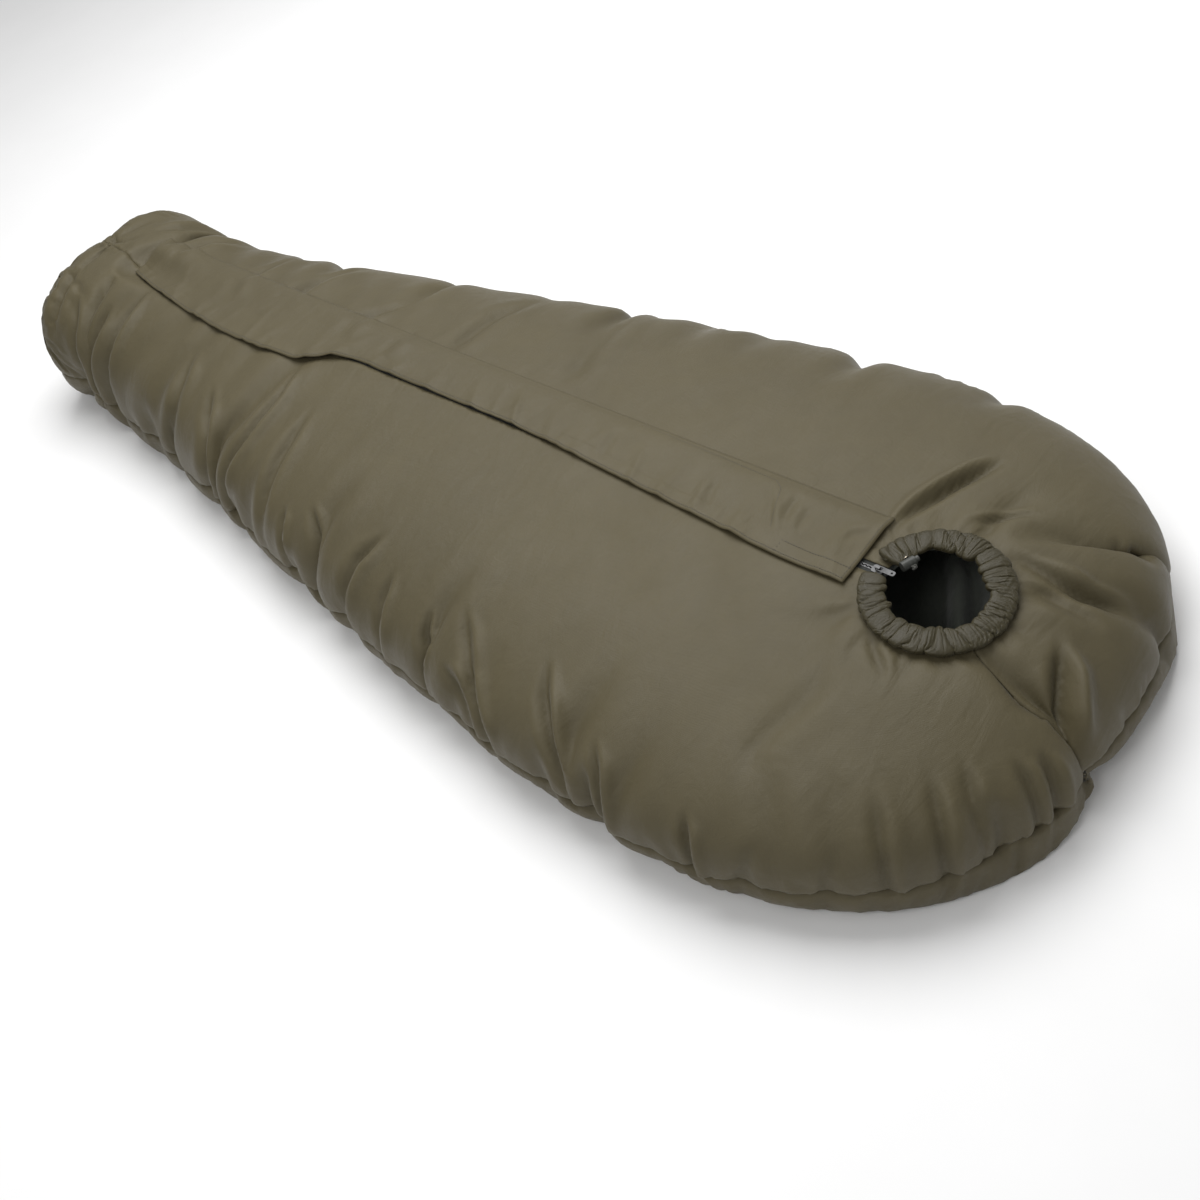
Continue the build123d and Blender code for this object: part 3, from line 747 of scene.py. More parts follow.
def subdivided(co, triangles, marks):
    """One Loop subdivision: points, triangles and each triangle's mark."""
    count = len(co)
    starts, ends = triangles.ravel(), np.roll(triangles, -1, axis=1).ravel()
    keys, which = np.unique(np.minimum(starts, ends) * count + np.maximum(starts, ends), return_inverse=True)
    a, b = keys // count, keys % count
    uses = np.bincount(which, minlength=len(keys))[:, None]
    across = summed(which, co[np.roll(triangles, -2, axis=1).ravel()], len(keys))
    middle = np.where(uses == 2, 0.375 * (co[a] + co[b]) + 0.125 * across, 0.5 * (co[a] + co[b]))
    degree = np.bincount(np.concatenate([a, b]), minlength=count)[:, None]
    around = summed(a, co[b], count) + summed(b, co[a], count)
    share = np.where(degree > 3, 0.375 / np.maximum(degree, 1), 0.1875)
    moved = co * (1 - degree * share) + share * around
    on_border = uses[:, 0] == 1
    a, b = a[on_border], b[on_border]
    border = np.unique(np.concatenate([a, b]))
    beside = summed(a, co[b], count) + summed(b, co[a], count)
    moved[border] = 0.75 * co[border] + 0.125 * beside[border]
    mids = which.reshape(-1, 3) + count
    p, q, r = triangles.T
    after_p, after_q, after_r = mids.T
    corners = ((p, after_p, after_r), (after_p, q, after_q), (after_r, after_q, r))
    finer = np.concatenate([np.stack(corner, 1) for corner in corners] + [mids])
    return np.concatenate([moved, middle]), finer, np.tile(marks, 4)


def thicken(outer, inner, faces):
    """A closed piece between two copies of a surface, with its borders joined."""
    corners = faces.shape[1]
    used, renumbered = np.unique(faces, return_inverse=True)
    outer, inner, faces = outer[used], inner[used], renumbered.reshape(faces.shape)
    starts, ends = faces.ravel(), np.roll(faces, -1, axis=1).ravel()
    count = len(outer)
    forward = starts.astype(np.int64) * count + ends
    border = ~np.isin(forward, ends.astype(np.int64) * count + starts)
    a, b = starts[border], ends[border]
    sides = np.stack([b, a, a + count, b + count], 1)
    if corners == 3:
        all_faces = faces.tolist() + (faces[:, ::-1] + count).tolist() + sides.tolist()
    else:
        all_faces = np.concatenate([faces, faces[:, ::-1] + count, sides])
    return np.concatenate([outer, inner]), all_faces


BASE, LEFT, RIGHT, FOOT = range(4)
PANEL_NAMES = {BASE: "base", LEFT: "upper_left", RIGHT: "upper_right", FOOT: "foot"}


def panel_marks(cloth):
    """Which panel each triangle belongs to."""
    middle = cloth.co[cloth.triangles].mean(1)
    seam_x, seam_y = zip(*HOOD_SEAM)
    edge = np.where(middle[:, 1] > seam_y[0] - 0.03, np.interp(middle[:, 1], seam_y, seam_x), 0)
    marks = np.where(middle[:, 0] > edge, LEFT, RIGHT)
    marks[cloth.upper_faces:] = BASE
    marks[middle[:, 1] < FOOT_PANEL_Y] = FOOT
    return marks


# ---------------------------------------------------------------- materials
class Shader:
    """A material's node tree, with a short way to add and join nodes."""

    def __init__(self, name, roughness, **inputs):
        self.material = bpy.data.materials.new(name)
        self.material.use_nodes = True
        self.tree = self.material.node_tree
        self.surface = self.tree.nodes["Principled BSDF"]
        self.surface.inputs["Roughness"].default_value = roughness
        self.feed(self.surface, inputs)
        self.place = self.tree.nodes.new("ShaderNodeTexCoord").outputs["Object"]

    def plug(self, socket, value):
        if isinstance(value, bpy.types.NodeSocket):
            self.tree.links.new(value, socket)
        else:
            socket.default_value = value

    def feed(self, node, inputs):
        for name, value in inputs.items():
            self.plug(node.inputs[name.replace("_", " ")], value)

    def add(self, kind, output=0, settings=None, **inputs):
        node = self.tree.nodes.new("ShaderNode" + kind)
        for name, value in (settings or {}).items():
            setattr(node, name, value)
        self.feed(node, inputs)
        return node.outputs[output]

    def math(self, operation, a, b):
        node = self.tree.nodes.new("ShaderNodeMath")
        node.operation = operation
        self.plug(node.inputs[0], a)
        self.plug(node.inputs[1], b)
        return node.outputs[0]

    def noise(self, scale, detail=3.0, roughness=0.55, distortion=0.0, place=None):
        return self.add("TexNoise", Vector=place or self.place, Scale=scale, Detail=detail,
                        Roughness=roughness, Distortion=distortion)

    def spread(self, value, low, high, to_low=0.0, to_high=1.0):
        return self.add("MapRange", Value=value, From_Min=low, From_Max=high, To_Min=to_low, To_Max=to_high)

    def between(self, factor, dark, light):
        node = self.tree.nodes.new("ShaderNodeMix")
        node.data_type = "RGBA"
        for number, value in ((0, factor), (6, dark), (7, light)):
            self.plug(node.inputs[number], value)
        return node.outputs[2]

    def stripes(self, axis, pitch, distortion=0.0):
        """Fine parallel ridges across one axis, pitch metres apart."""
        settings = {"wave_type": "BANDS", "bands_direction": axis}
        return self.add("TexWave", 1, settings, Vector=self.place, Scale=math.pi / (10 * pitch),
                        Distortion=distortion)

    def weave(self, pitch):
        rows = self.math("ADD", self.stripes("X", pitch), self.stripes("Y", pitch))
        return self.math("ADD", rows, self.stripes("Z", pitch))

    def bump(self, height, strength, distance, below=None):
        inputs = {"Normal": below} if below else {}
        return self.add("Bump", Height=height, Strength=strength, Distance=distance, **inputs)

    def done(self, **inputs):
        self.feed(self.surface, inputs)
        return self.material


def shade(colour, factor):
    return tuple(min(c * factor, 1) for c in colour) + (1,)


def cloth_material(name, colour, roughness, crinkle=0.3, curvature_tone=0.06, sheen=0.05):
    """Woven cloth: fine thread relief, small crinkles, uneven dye, valleys darkened with painted shade, and
    crests a little paler from wear.
    """
    thread, mottle = 0.0007, 0.07
    shader = Shader(name, roughness, Sheen_Weight=sheen, Sheen_Roughness=0.45, Specular_IOR_Level=0.3)
    dye = shader.noise(2.6, 4.0, 0.6)
    patch = shader.noise(34.0, 3.0, 0.6)
    tone = shader.math("ADD", shader.spread(dye, 0.3, 0.7, -mottle, mottle),
                       shader.spread(patch, 0.3, 0.7, -0.4 * mottle, 0.4 * mottle))
    # Painted shade darkens the valleys (low pointiness), and wear makes the crests (high pointiness) a little
    # paler.
    curve = shader.add("NewGeometry", "Pointiness")
    valley_shade_and_crest_wear = shader.spread(curve, 0.46, 0.54, -curvature_tone, curvature_tone)
    tone = shader.spread(shader.math("ADD", tone, valley_shade_and_crest_wear), -0.25, 0.25)
    colours = shader.between(tone, shade(colour, 0.75), shade(colour, 1.25))
    gloss = shader.spread(shader.noise(11.0, 4.0), 0.3, 0.7, roughness - 0.05, roughness + 0.07)
    fine = shader.bump(shader.weave(thread), 0.35, thread * 0.25)
    small = shader.bump(shader.noise(42.0, 5.0, 0.6, 0.8), crinkle, 0.0025, fine)
    drawn = shader.add("Mapping", Vector=shader.place, Rotation=(0, 0, 0.35), Scale=(0.35, 1.0, 0.6))
    pulled = shader.bump(shader.noise(26.0, 4.0, 0.5, 1.2, drawn), crinkle, 0.006, small)
    return shader.done(Base_Color=colours, Roughness=gloss, Normal=pulled)


def batting_material(name, colour):
    """Lofted fibre: a felt of pale fibres with soft lumps."""
    shader = Shader(name, 0.95, Sheen_Weight=0.5, Sheen_Roughness=0.6)
    fibres = shader.noise(420.0, 6.0, 0.75, 2.5)
    lumps = shader.noise(38.0, 4.0, 0.6)
    colours = shader.between(shader.spread(fibres, 0.3, 0.7), shade(colour, 0.86), shade(colour, 1.04))
    soft = shader.bump(lumps, 0.6, 0.004)
    return shader.done(Base_Color=colours, Normal=shader.bump(fibres, 0.7, 0.0008, soft))


def ribbed_material(name, colour, pitch, roughness=0.75, axis="Y"):
    """Woven tape or knitted zip tape: ribs across its length."""
    shader = Shader(name, roughness, Sheen_Weight=0.15)
    ribs = shader.stripes(axis, pitch, 0.4)
    colours = shader.between(ribs, shade(colour, 0.7), shade(colour, 1.2))
    cross = shader.bump(shader.weave(pitch * 0.6), 0.3, pitch * 0.2)
    return shader.done(Base_Color=colours, Normal=shader.bump(ribs, 0.6, pitch * 0.4, cross))


def pile_material(name, colour, scale):
    """Hook or loop pile: a bed of tiny separate tufts."""
    shader = Shader(name, 0.85, Sheen_Weight=0.3)
    tufts = shader.add("TexVoronoi", "Distance", Vector=shader.place, Scale=scale)
    colours = shader.between(shader.spread(tufts, 0.0, 0.7), shade(colour, 1.6), shade(colour, 0.5))
    return shader.done(Base_Color=colours, Normal=shader.bump(tufts, 1.0, 0.0008))


def hard_material(name, colour, roughness, metallic=0.0, grain=900.0, relief=0.00008, curvature_tone=0.35):
    """Moulded plastic, or lacquered or plain metal: fine grain, and edges rubbed paler."""
    shader = Shader(name, roughness, Metallic=metallic)
    rubbed = shader.spread(shader.add("NewGeometry", "Pointiness"), 0.50, 0.60, 0.0, curvature_tone)
    scuffs = shader.spread(shader.noise(260.0, 5.0, 0.7, 1.5), 0.45, 0.75, 0.0, 0.5)
    tone = shader.math("MAXIMUM", rubbed, shader.math("MULTIPLY", scuffs, 0.4))
    light = tuple(0.55 * c + 0.25 for c in colour)
    colours = shader.between(tone, shade(colour, 1.0), shade(light, 1.0))
    gloss = shader.spread(scuffs, 0.0, 0.5, roughness, min(roughness + 0.18, 1.0))
    texture = shader.bump(shader.noise(grain, 3.0), 0.5, relief)
    return shader.done(Base_Color=colours, Roughness=gloss, Normal=texture)


def braid_material(name, colour, pitch=0.0011):
    """Braided cord: two crossing sets of strands."""
    shader = Shader(name, 0.7, Sheen_Weight=0.25)
    settings = {"wave_type": "BANDS", "bands_direction": "DIAGONAL"}
    one = shader.add("TexWave", 1, settings, Vector=shader.place, Scale=math.pi / (10 * pitch))
    mirrored = shader.add("Mapping", Vector=shader.place, Scale=(-1, 1, 1))
    two = shader.add("TexWave", 1, settings, Vector=mirrored, Scale=math.pi / (10 * pitch))
    strands = shader.math("MAXIMUM", one, two)
    colours = shader.between(strands, shade(colour, 0.55), shade(colour, 1.25))
    return shader.done(Base_Color=colours, Normal=shader.bump(strands, 0.8, 0.0003))


OLIVE = (0.081, 0.067, 0.034)
# The casing is the shell's cloth: its olive is darkened with painted shade, for the shade among its pleats.
SHADED_CASING_OLIVE = (0.035, 0.029, 0.012)
FLAP_LINING_OLIVE = (0.080, 0.067, 0.038)
DARK_OLIVE = (0.040, 0.036, 0.023)
LINING_BLACK = (0.115, 0.123, 0.105)

# Pointiness darkens each cloth's valleys with painted shade and makes its worn crests paler.
SHELL_CLOTH = cloth_material("shell_cloth", OLIVE, roughness=0.52)
FLAP_CLOTH = cloth_material("flap_cloth", OLIVE, roughness=0.52, curvature_tone=0.02)
FLAP_LINING_CLOTH = cloth_material("flap_lining_cloth", FLAP_LINING_OLIVE, roughness=0.55, crinkle=0.15)
# The casing's cloth carries painted shade in its darkened olive.
CASING_CLOTH = cloth_material("casing_cloth", SHADED_CASING_OLIVE, roughness=0.38, crinkle=0.6, curvature_tone=0.16)
LINING_CLOTH = cloth_material("lining_cloth", LINING_BLACK, roughness=0.34, crinkle=0.4, sheen=0.3, curvature_tone=0.2)
BATTING = batting_material("batting", (0.75, 0.75, 0.72))
SEAM_BINDING = ribbed_material("seam_binding", DARK_OLIVE, 0.0016)
STIFFENER_TAPE = ribbed_material("stiffener_tape", DARK_OLIVE, 0.0016)
ZIP_TAPE = ribbed_material("zip_tape", (0.016, 0.018, 0.014), 0.0013)
HOOK_PILE = pile_material("hook_pile", (0.020, 0.022, 0.018), 900.0)
LOOP_PILE = pile_material("loop_pile", (0.016, 0.018, 0.015), 420.0)
THREAD = braid_material("sewing_thread", (0.034, 0.029, 0.018), 0.0004)
CORD_BRAID = braid_material("cord_braid", (0.035, 0.035, 0.028))
ZIP_PLASTIC = hard_material("zip_plastic", (0.022, 0.022, 0.022), 0.38)
SLIDER_METAL = hard_material("slider_metal", (0.030, 0.030, 0.031), 0.42, metallic=0.5, curvature_tone=0.25)
LOCK_PLASTIC = hard_material("lock_plastic", (0.026, 0.028, 0.022), 0.45, relief=0.00012, curvature_tone=0.2)
SPRING_WIRE = hard_material("spring_wire", (0.60, 0.60, 0.61), 0.25, metallic=1.0, grain=1500.0)
EYELET_METAL = hard_material("eyelet_metal", (0.20, 0.16, 0.09), 0.38, metallic=1.0, curvature_tone=0.5)

NODE_MATERIALS = {
    "zip_teeth_left": ZIP_PLASTIC, "zip_teeth_right": ZIP_PLASTIC, "zip_top_stops": ZIP_PLASTIC,
    "zip_bottom_stop": ZIP_PLASTIC, "zip_slider": SLIDER_METAL, "zip_pull": SLIDER_METAL,
    "zip_pull_inner": SLIDER_METAL, "cord_lock_body": LOCK_PLASTIC, "cord_lock_plunger": LOCK_PLASTIC,
    "cord_lock_spring": SPRING_WIRE, "cord_eyelet": EYELET_METAL, "face_drawcord": CORD_BRAID,
}
for node_name, node_material in NODE_MATERIALS.items():
    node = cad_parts[node_name]
    node.data.materials.clear()
    node.data.materials.append(node_material)


# ---------------------------------------------------------------- shell, fill and lining
LINING_STEPS = 60
SHELL_THICK, LINING_THICK = 0.0012, 0.0010
LINING_SPACING, LINING_BASE_SPACING = 0.0125, 0.0145
LINING_DEPTH, LINING_DEPTH_AT_FACE, LINING_DEPTH_AT_ZIP = 0.031, 0.0019, 0.012
LINING_ROOM_UPPER, LINING_ROOM_BASE, LINING_LIFT = 0.007, 0.022, 0.002  # how far its wrinkles go in, and out
LINING_CUT = ((0.10, 0.10), (0.10, 0.2), (0.0, 0.1), 0.06, (0.05, 0.1), 0.12)  # as extra_cloth takes it
BATTING_DEPTH, BATTING_CLEARANCE = 0.0030, 0.0028  # below the shell's folds, and clear of its inside
BATTING_TO_LINING, BATTING_SHARE = 0.0045, 0.8  # at least this far apart, and how much of that room it fills
BATTING_FROM_HOLE, BATTING_FROM_SLOT = 0.035, 0.014
# The lining lies at its full depth, or wrinkles freely, from between these distances on.
DEEP_FROM_FACE, DEEP_FROM_ZIP = (HOLE_RADIUS + 0.004, HOLE_RADIUS + 0.055), (0.024, 0.045)
LOOSE_FROM_FACE, LOOSE_FROM_ZIP = (HOLE_RADIUS + 0.02, HOLE_RADIUS + 0.07), (0.035, 0.06)
LOOSE_FROM_COLLAR, LINING_HELD = (0.026, 0.05), 0.9
VALLEY_REACH = 0.017  # the shell's lowest point is looked for this far round each point


def build_panels(names, co, thick, triangles, marks, material, slot):
    """The four panels of a cloth: each a sheet a little larger than the room it fills, sewn in all round."""
    inner = co - thick * point_normals(co, triangles)
    for mark, panel in PANEL_NAMES.items():
        faces = triangles[marks == mark]
        made = thicken(co, inner, faces)
        piece = build(f"{names[0]}_{panel}", *made, material, slot, [f"{names[1]}_{panel}"])


def lining_depth(x, y, upper):
    """How deep the lining lies: close under the shell at the face opening, clear of the zip's tapes."""
    from_hole = ramp(ring_distance(x, y), *DEEP_FROM_FACE)
    at_face = LINING_DEPTH_AT_FACE + (LINING_DEPTH - LINING_DEPTH_AT_FACE) * from_hole
    beside_zip = LINING_DEPTH_AT_ZIP * (1 - ramp(np.abs(x), *DEEP_FROM_ZIP)) * (y < RING_CENTRE[1])
    return np.where(upper, np.maximum(at_face, beside_zip), LINING_DEPTH)


def smooth_normals(cloth, passes):
    normal = point_normals(cloth.co, cloth.triangles)
    smoother = Smoother(mesh_edges(cloth.triangles), len(cloth.co))
    for _ in range(passes):
        normal = smoother.average(normal)
    return unit(normal)


def valley_depths(cloth, normal, shell_cloth, shell_shape):
    """How far the shell's lowest point near each point lies off the form: below 0 in its folds."""
    tree = point_tree(shell_cloth.co)
    result = np.zeros(len(cloth.co))
    for i, (point, out) in enumerate(zip(cloth.co, normal)):
        near = [k for _, k, _ in tree.find_range(point, VALLEY_REACH)]
        if near:
            result[i] = min(((shell_shape[near] - point) @ out).min(), 0)
    return result


def pressed_in(outer, triangles, normal, shell_points, gap):
    """A surface moved inward until it lies at least gap inside each of the shell's points."""
    outer = outer.copy()
    points = [Vector(point) for point in shell_points]
    for _ in range(5):
        tree = tree_of(outer, triangles)
        found = [tree.find_nearest(point) for point in points]
        short = np.array([gap - (point - place).dot(out) for point, (place, out, _, _) in zip(points, found)])
        faces = np.array([face for _, _, face, _ in found])
        push = np.zeros(len(outer))
        for corner in range(3):
            np.maximum.at(push, triangles[faces, corner], np.clip(short, 0, 0.01))
        if push.max() < 0.0002:
            break
        outer -= push[:, None] * normal
    return outer


# Rolls of slack lining: points along each one in plan, its height and its half width.
LINING_FOLDS = [
    (((-0.245, 0.690), (-0.190, 0.735), (-0.140, 0.775), (-0.070, 0.815), (0.010, 0.845)), 0.034, 0.012),
    (((-0.260, 0.750), (-0.200, 0.800), (-0.145, 0.845), (-0.080, 0.885), (0.000, 0.910)), 0.056, 0.023),
]


def lining_rise(x, y):
    """Slack of the base lining, gathered into rolls below the face opening."""
    rise = np.zeros(len(x))
    for points, height, width in LINING_FOLDS:
        line = along(points, 60)
        apart = np.hypot(x[:, None] - line[:, 0], y[:, None] - line[:, 1])
        nearest = apart.argmin(1) / (len(line) - 1)
        ends = ramp(nearest, 0, 0.3) * (1 - ramp(nearest, 0.7, 1))
        rise = np.maximum(rise, height * ends * np.exp(-(apart.min(1) / width) ** 2.6))
    return rise


def build_lining(cloth, normal, batting):
    """The four lining panels, loosely wrinkled inside the fill. Returns their shape, and a tree of it."""
    x, y = cloth.co[:, 0], cloth.co[:, 1]
    depth = lining_depth(x, y, cloth.upper)
    past_face = ramp(ring_distance(x, y), *LOOSE_FROM_FACE)
    batting_depth = ((cloth.co - batting) * normal).sum(1)
    depth = np.maximum(depth, (batting_depth + BATTING_TO_LINING) * np.where(cloth.upper, past_face, 1))
    depth += np.where(cloth.upper, 0, lining_rise(x, y))
    form = cloth.co - depth[:, None] * normal
    pinned = np.isin(np.arange(len(form)), cloth.hole)
    at_collar = 1 - ramp(np.abs(y - COLLAR_Y), *LOOSE_FROM_COLLAR)
    beside_zip = 1 - ramp(np.abs(x), *LOOSE_FROM_ZIP)
    held = np.where(cloth.upper, np.maximum(at_collar, beside_zip), at_collar)
    room = np.where(cloth.upper, LINING_ROOM_UPPER, LINING_ROOM_BASE) * (1 - LINING_HELD * held)
    room *= np.where(cloth.upper, past_face, 1)
    cut = extra_cloth(SimpleNamespace(co=form, upper=cloth.upper), *LINING_CUT)
    shape = relax(form, cloth.triangles, cut, pinned, steps=LINING_STEPS, hold=0.012, bend=0.25, noise=0.004,
                  inward=room[:, None], outward=(LINING_LIFT * past_face)[:, None], seed=21)
    co, finer, marks = subdivided(shape, cloth.triangles, panel_marks(cloth))
    build_panels(("lining", "liner"), co, LINING_THICK, finer, marks, LINING_CLOTH, "liner_fabric")
    return shape, tree_of(co, finer)


def build_fill(cloth, outer, lining):
    """The four batts between shell and lining."""
    x, y = cloth.co[:, 0], cloth.co[:, 1]
    inner = outer + BATTING_SHARE * (lining - outer)
    clear = ring_distance(x, y) > HOLE_RADIUS + BATTING_FROM_HOLE
    clear &= slot_distance(x, y) > BATTING_FROM_SLOT
    clear |= ~cloth.upper
    triangles = cloth.triangles[clear[cloth.triangles].all(1)]
    marks = panel_marks(cloth)[clear[cloth.triangles].all(1)]
    for mark, panel in PANEL_NAMES.items():
        made = thicken(outer, inner, triangles[marks == mark])
        build(f"batting_{panel}", *made, BATTING, "insulation", [f"fill_{panel}"])


SEAM_TAPE_ROWS = (-0.008, -0.004, 0.0, 0.004, 0.008)
SEAM_TAPE_DEPTH, SEAM_TAPE_THICK = 0.0026, 0.0008


def build_seam_tape(tree, rim):
    """A binding tape inside the seam between the upper panels and the base."""
    def under_shell(point, depth):
        found, normal, _, _ = tree.find_nearest(point)
        return found - normal * depth

    tangent = unit(np.roll(rim, -1, axis=0) - np.roll(rim, 1, axis=0))
    rows = []
    for across in SEAM_TAPE_ROWS:
        row = []
        for point, run in zip(rim, tangent):
            up = UP - Vector(run) * run[2]
            row.append(under_shell(Vector(point) + up.normalized() * across, 0.0022))
        row = np.array(row)
        row = (np.roll(row, 1, axis=0) + 2 * row + np.roll(row, -1, axis=0)) / 4
        rows.append([under_shell(Vector(point), SEAM_TAPE_DEPTH) for point in row])
    outer = np.array(rows)
    outward = unit(outer - (0.0, 0.0, SEAM_Z))
    faces = grid_faces(len(rows), len(rim), wrap_columns=True)
    made = thicken(outer.reshape(-1, 3), (outer - SEAM_TAPE_THICK * outward).reshape(-1, 3), faces)
    build("seam_tape", *made, SEAM_BINDING, "binding_tape", ["perimeter_seam_tape"])


def grid_faces(rows, columns, wrap_columns=False, wrap_rows=False):
    """Quads of a grid of points, stored row by row."""
    row = np.arange(rows if wrap_rows else rows - 1)
    column = np.arange(columns if wrap_columns else columns - 1)
    r, c = (a.ravel() for a in np.meshgrid(row, column, indexing="ij"))
    below, beside = (r + 1) % rows, (c + 1) % columns
    return np.stack([r * columns + c, r * columns + beside, below * columns + beside, below * columns + c], 1)


def grid_points(x, y, z):
    """The points of a grid, row by row."""
    return np.stack(np.broadcast_arrays(x, y, z), 2).reshape(-1, 3)


# ---------------------------------------------------------------- zip
ZIP_FOOT_Y, ZIP_HEAD_Y = -0.885, 0.771
TAPE_INNER, TAPE_OUTER, TAPE_TOP, TAPE_THICK = 0.0031, 0.022, -0.0024, 0.0008


def build_zip_tapes():
    """The two tapes: a bead along the teeth, and a slightly wavy outer edge."""
    rng = np.random.default_rng(31)
    y = np.linspace(ZIP_FOOT_Y, ZIP_HEAD_Y, 415)
    share = np.linspace(0, 1, 9)
    for side, name in ((1, "left"), (-1, "right")):
        x = side * (TAPE_INNER + (TAPE_OUTER - TAPE_INNER) * share)
        wave = 0.00025 * np.sin(y[:, None] * 61 + share * 2 + rng.uniform(0, 6)) * share
        bead = 0.00045 * np.exp(-(share / 0.10) ** 2)
        z = ridge_line(y)[:, None] + TAPE_TOP + wave + bead
        top = grid_points(x, y[:, None], z)
        faces = grid_faces(len(y), len(share))
        if side > 0:
            faces = faces[:, ::-1]
        made = thicken(top, top - (0, 0, TAPE_THICK), faces)
        build(f"tape_{name}", *made, ZIP_TAPE, "zip_tape", [f"zip_tape_{name}"])


# ---------------------------------------------------------------- the storm flap
FLAP_SEWN_X, FLAP_FOOT_Y, FLAP_HEAD_Y = -0.088, -0.905, 0.730
FLAP_FREE_EDGE = [(-0.905, 0.014), (-0.868, 0.024), (-0.775, 0.041), (-0.670, 0.054), (-0.565, 0.062),
                  (-0.450, 0.060), (-0.360, 0.046), (-0.320, 0.022), (-0.285, 0.011), (-0.200, 0.009),
                  (-0.103, 0.009), (0.113, 0.011), (0.308, 0.024), (0.486, 0.036), (0.630, 0.045),
                  (0.730, 0.044)]
# Creases of the flap: points in plan, depth, half width, and how sharp.
FLAP_FOLDS = [
    (((-0.070, 0.642), (-0.107, 0.637), (-0.152, 0.656)), 0.0034, 0.0070, 1),
    (((-0.011, 0.690), (-0.031, 0.698), (-0.051, 0.725)), 0.0034, 0.0060, 1),
    (((0.004, 0.600), (-0.038, 0.592), (-0.071, 0.592)), 0.0030, 0.0065, 1),
    (((0.007, 0.630), (-0.027, 0.621), (-0.054, 0.623)), 0.0026, 0.0060, 1),
    (((0.036, 0.486), (-0.011, 0.473), (-0.046, 0.466)), 0.0020, 0.0070, 0),
    (((0.023, 0.287), (-0.016, 0.271), (-0.057, 0.268)), 0.0018, 0.0080, 0),
    (((-0.083, 0.280), (-0.080, 0.440), (-0.072, 0.550)), 0.0014, 0.0045, 1),
    (((-0.080, 0.530), (-0.031, 0.562), (0.030, 0.602)), 0.0020, 0.0050, 1),
]
FLAP_CLEARANCE, SEWN_CLEARANCE = 0.0032, 0.0004  # the first leaves room for the hook and loop patches
EDGE_STITCH, BOX_STITCH, BOX_LENGTH = 0.0052, 0.0250, 0.113  # insets from the free edge, and the stitched box
# The grid's columns beside the free edge: closer together at the hem and at both rows of stitches.
EDGE_COLUMNS = np.array([0, 0.0010, 0.0025, 0.0040, 0.0052, 0.0064, 0.0090, 0.0130, 0.0180, 0.0225, 0.0238,
                         0.0250, 0.0262, 0.0280, 0.0330])


def free_edge(y):
    """Where the flap's free edge lies."""
    return smooth_table(y, FLAP_FREE_EDGE)


def height_on(tree, x, y, missing):
    """The height of the highest surface over each plan point."""
    result = np.array(missing, float)
    for index in np.ndindex(x.shape):
        found = tree.ray_cast(Vector((x[index], y[index], 1.0)), -UP)[0]
        if found is not None:
            result[index] = max(result[index], found.z)
    return result


def four_beside(grid):
    """The values beside each cell of a grid, before and after it in both directions."""
    wide = np.pad(grid, 1, mode="edge")
    return wide[:-2, 1:-1], wide[2:, 1:-1], wide[1:-1, :-2], wide[1:-1, 2:]


def blurred(grid, passes):
    for _ in range(passes):
        grid = (sum(four_beside(grid)) + 2 * grid) / 6
    return grid


def highest_near(grid, passes):
    for _ in range(passes):
        grid = np.maximum.reduce([grid, *four_beside(grid)])
    return grid


def crease_bed(x, y, points):
    """A broad low swell, so that a crease beside it need not sink into the shell."""
    line = along(points, 30)
    return np.exp(-(np.hypot(x[:, None] - line[:, 0], y[:, None] - line[:, 1]).min(1) / 0.02) ** 2)


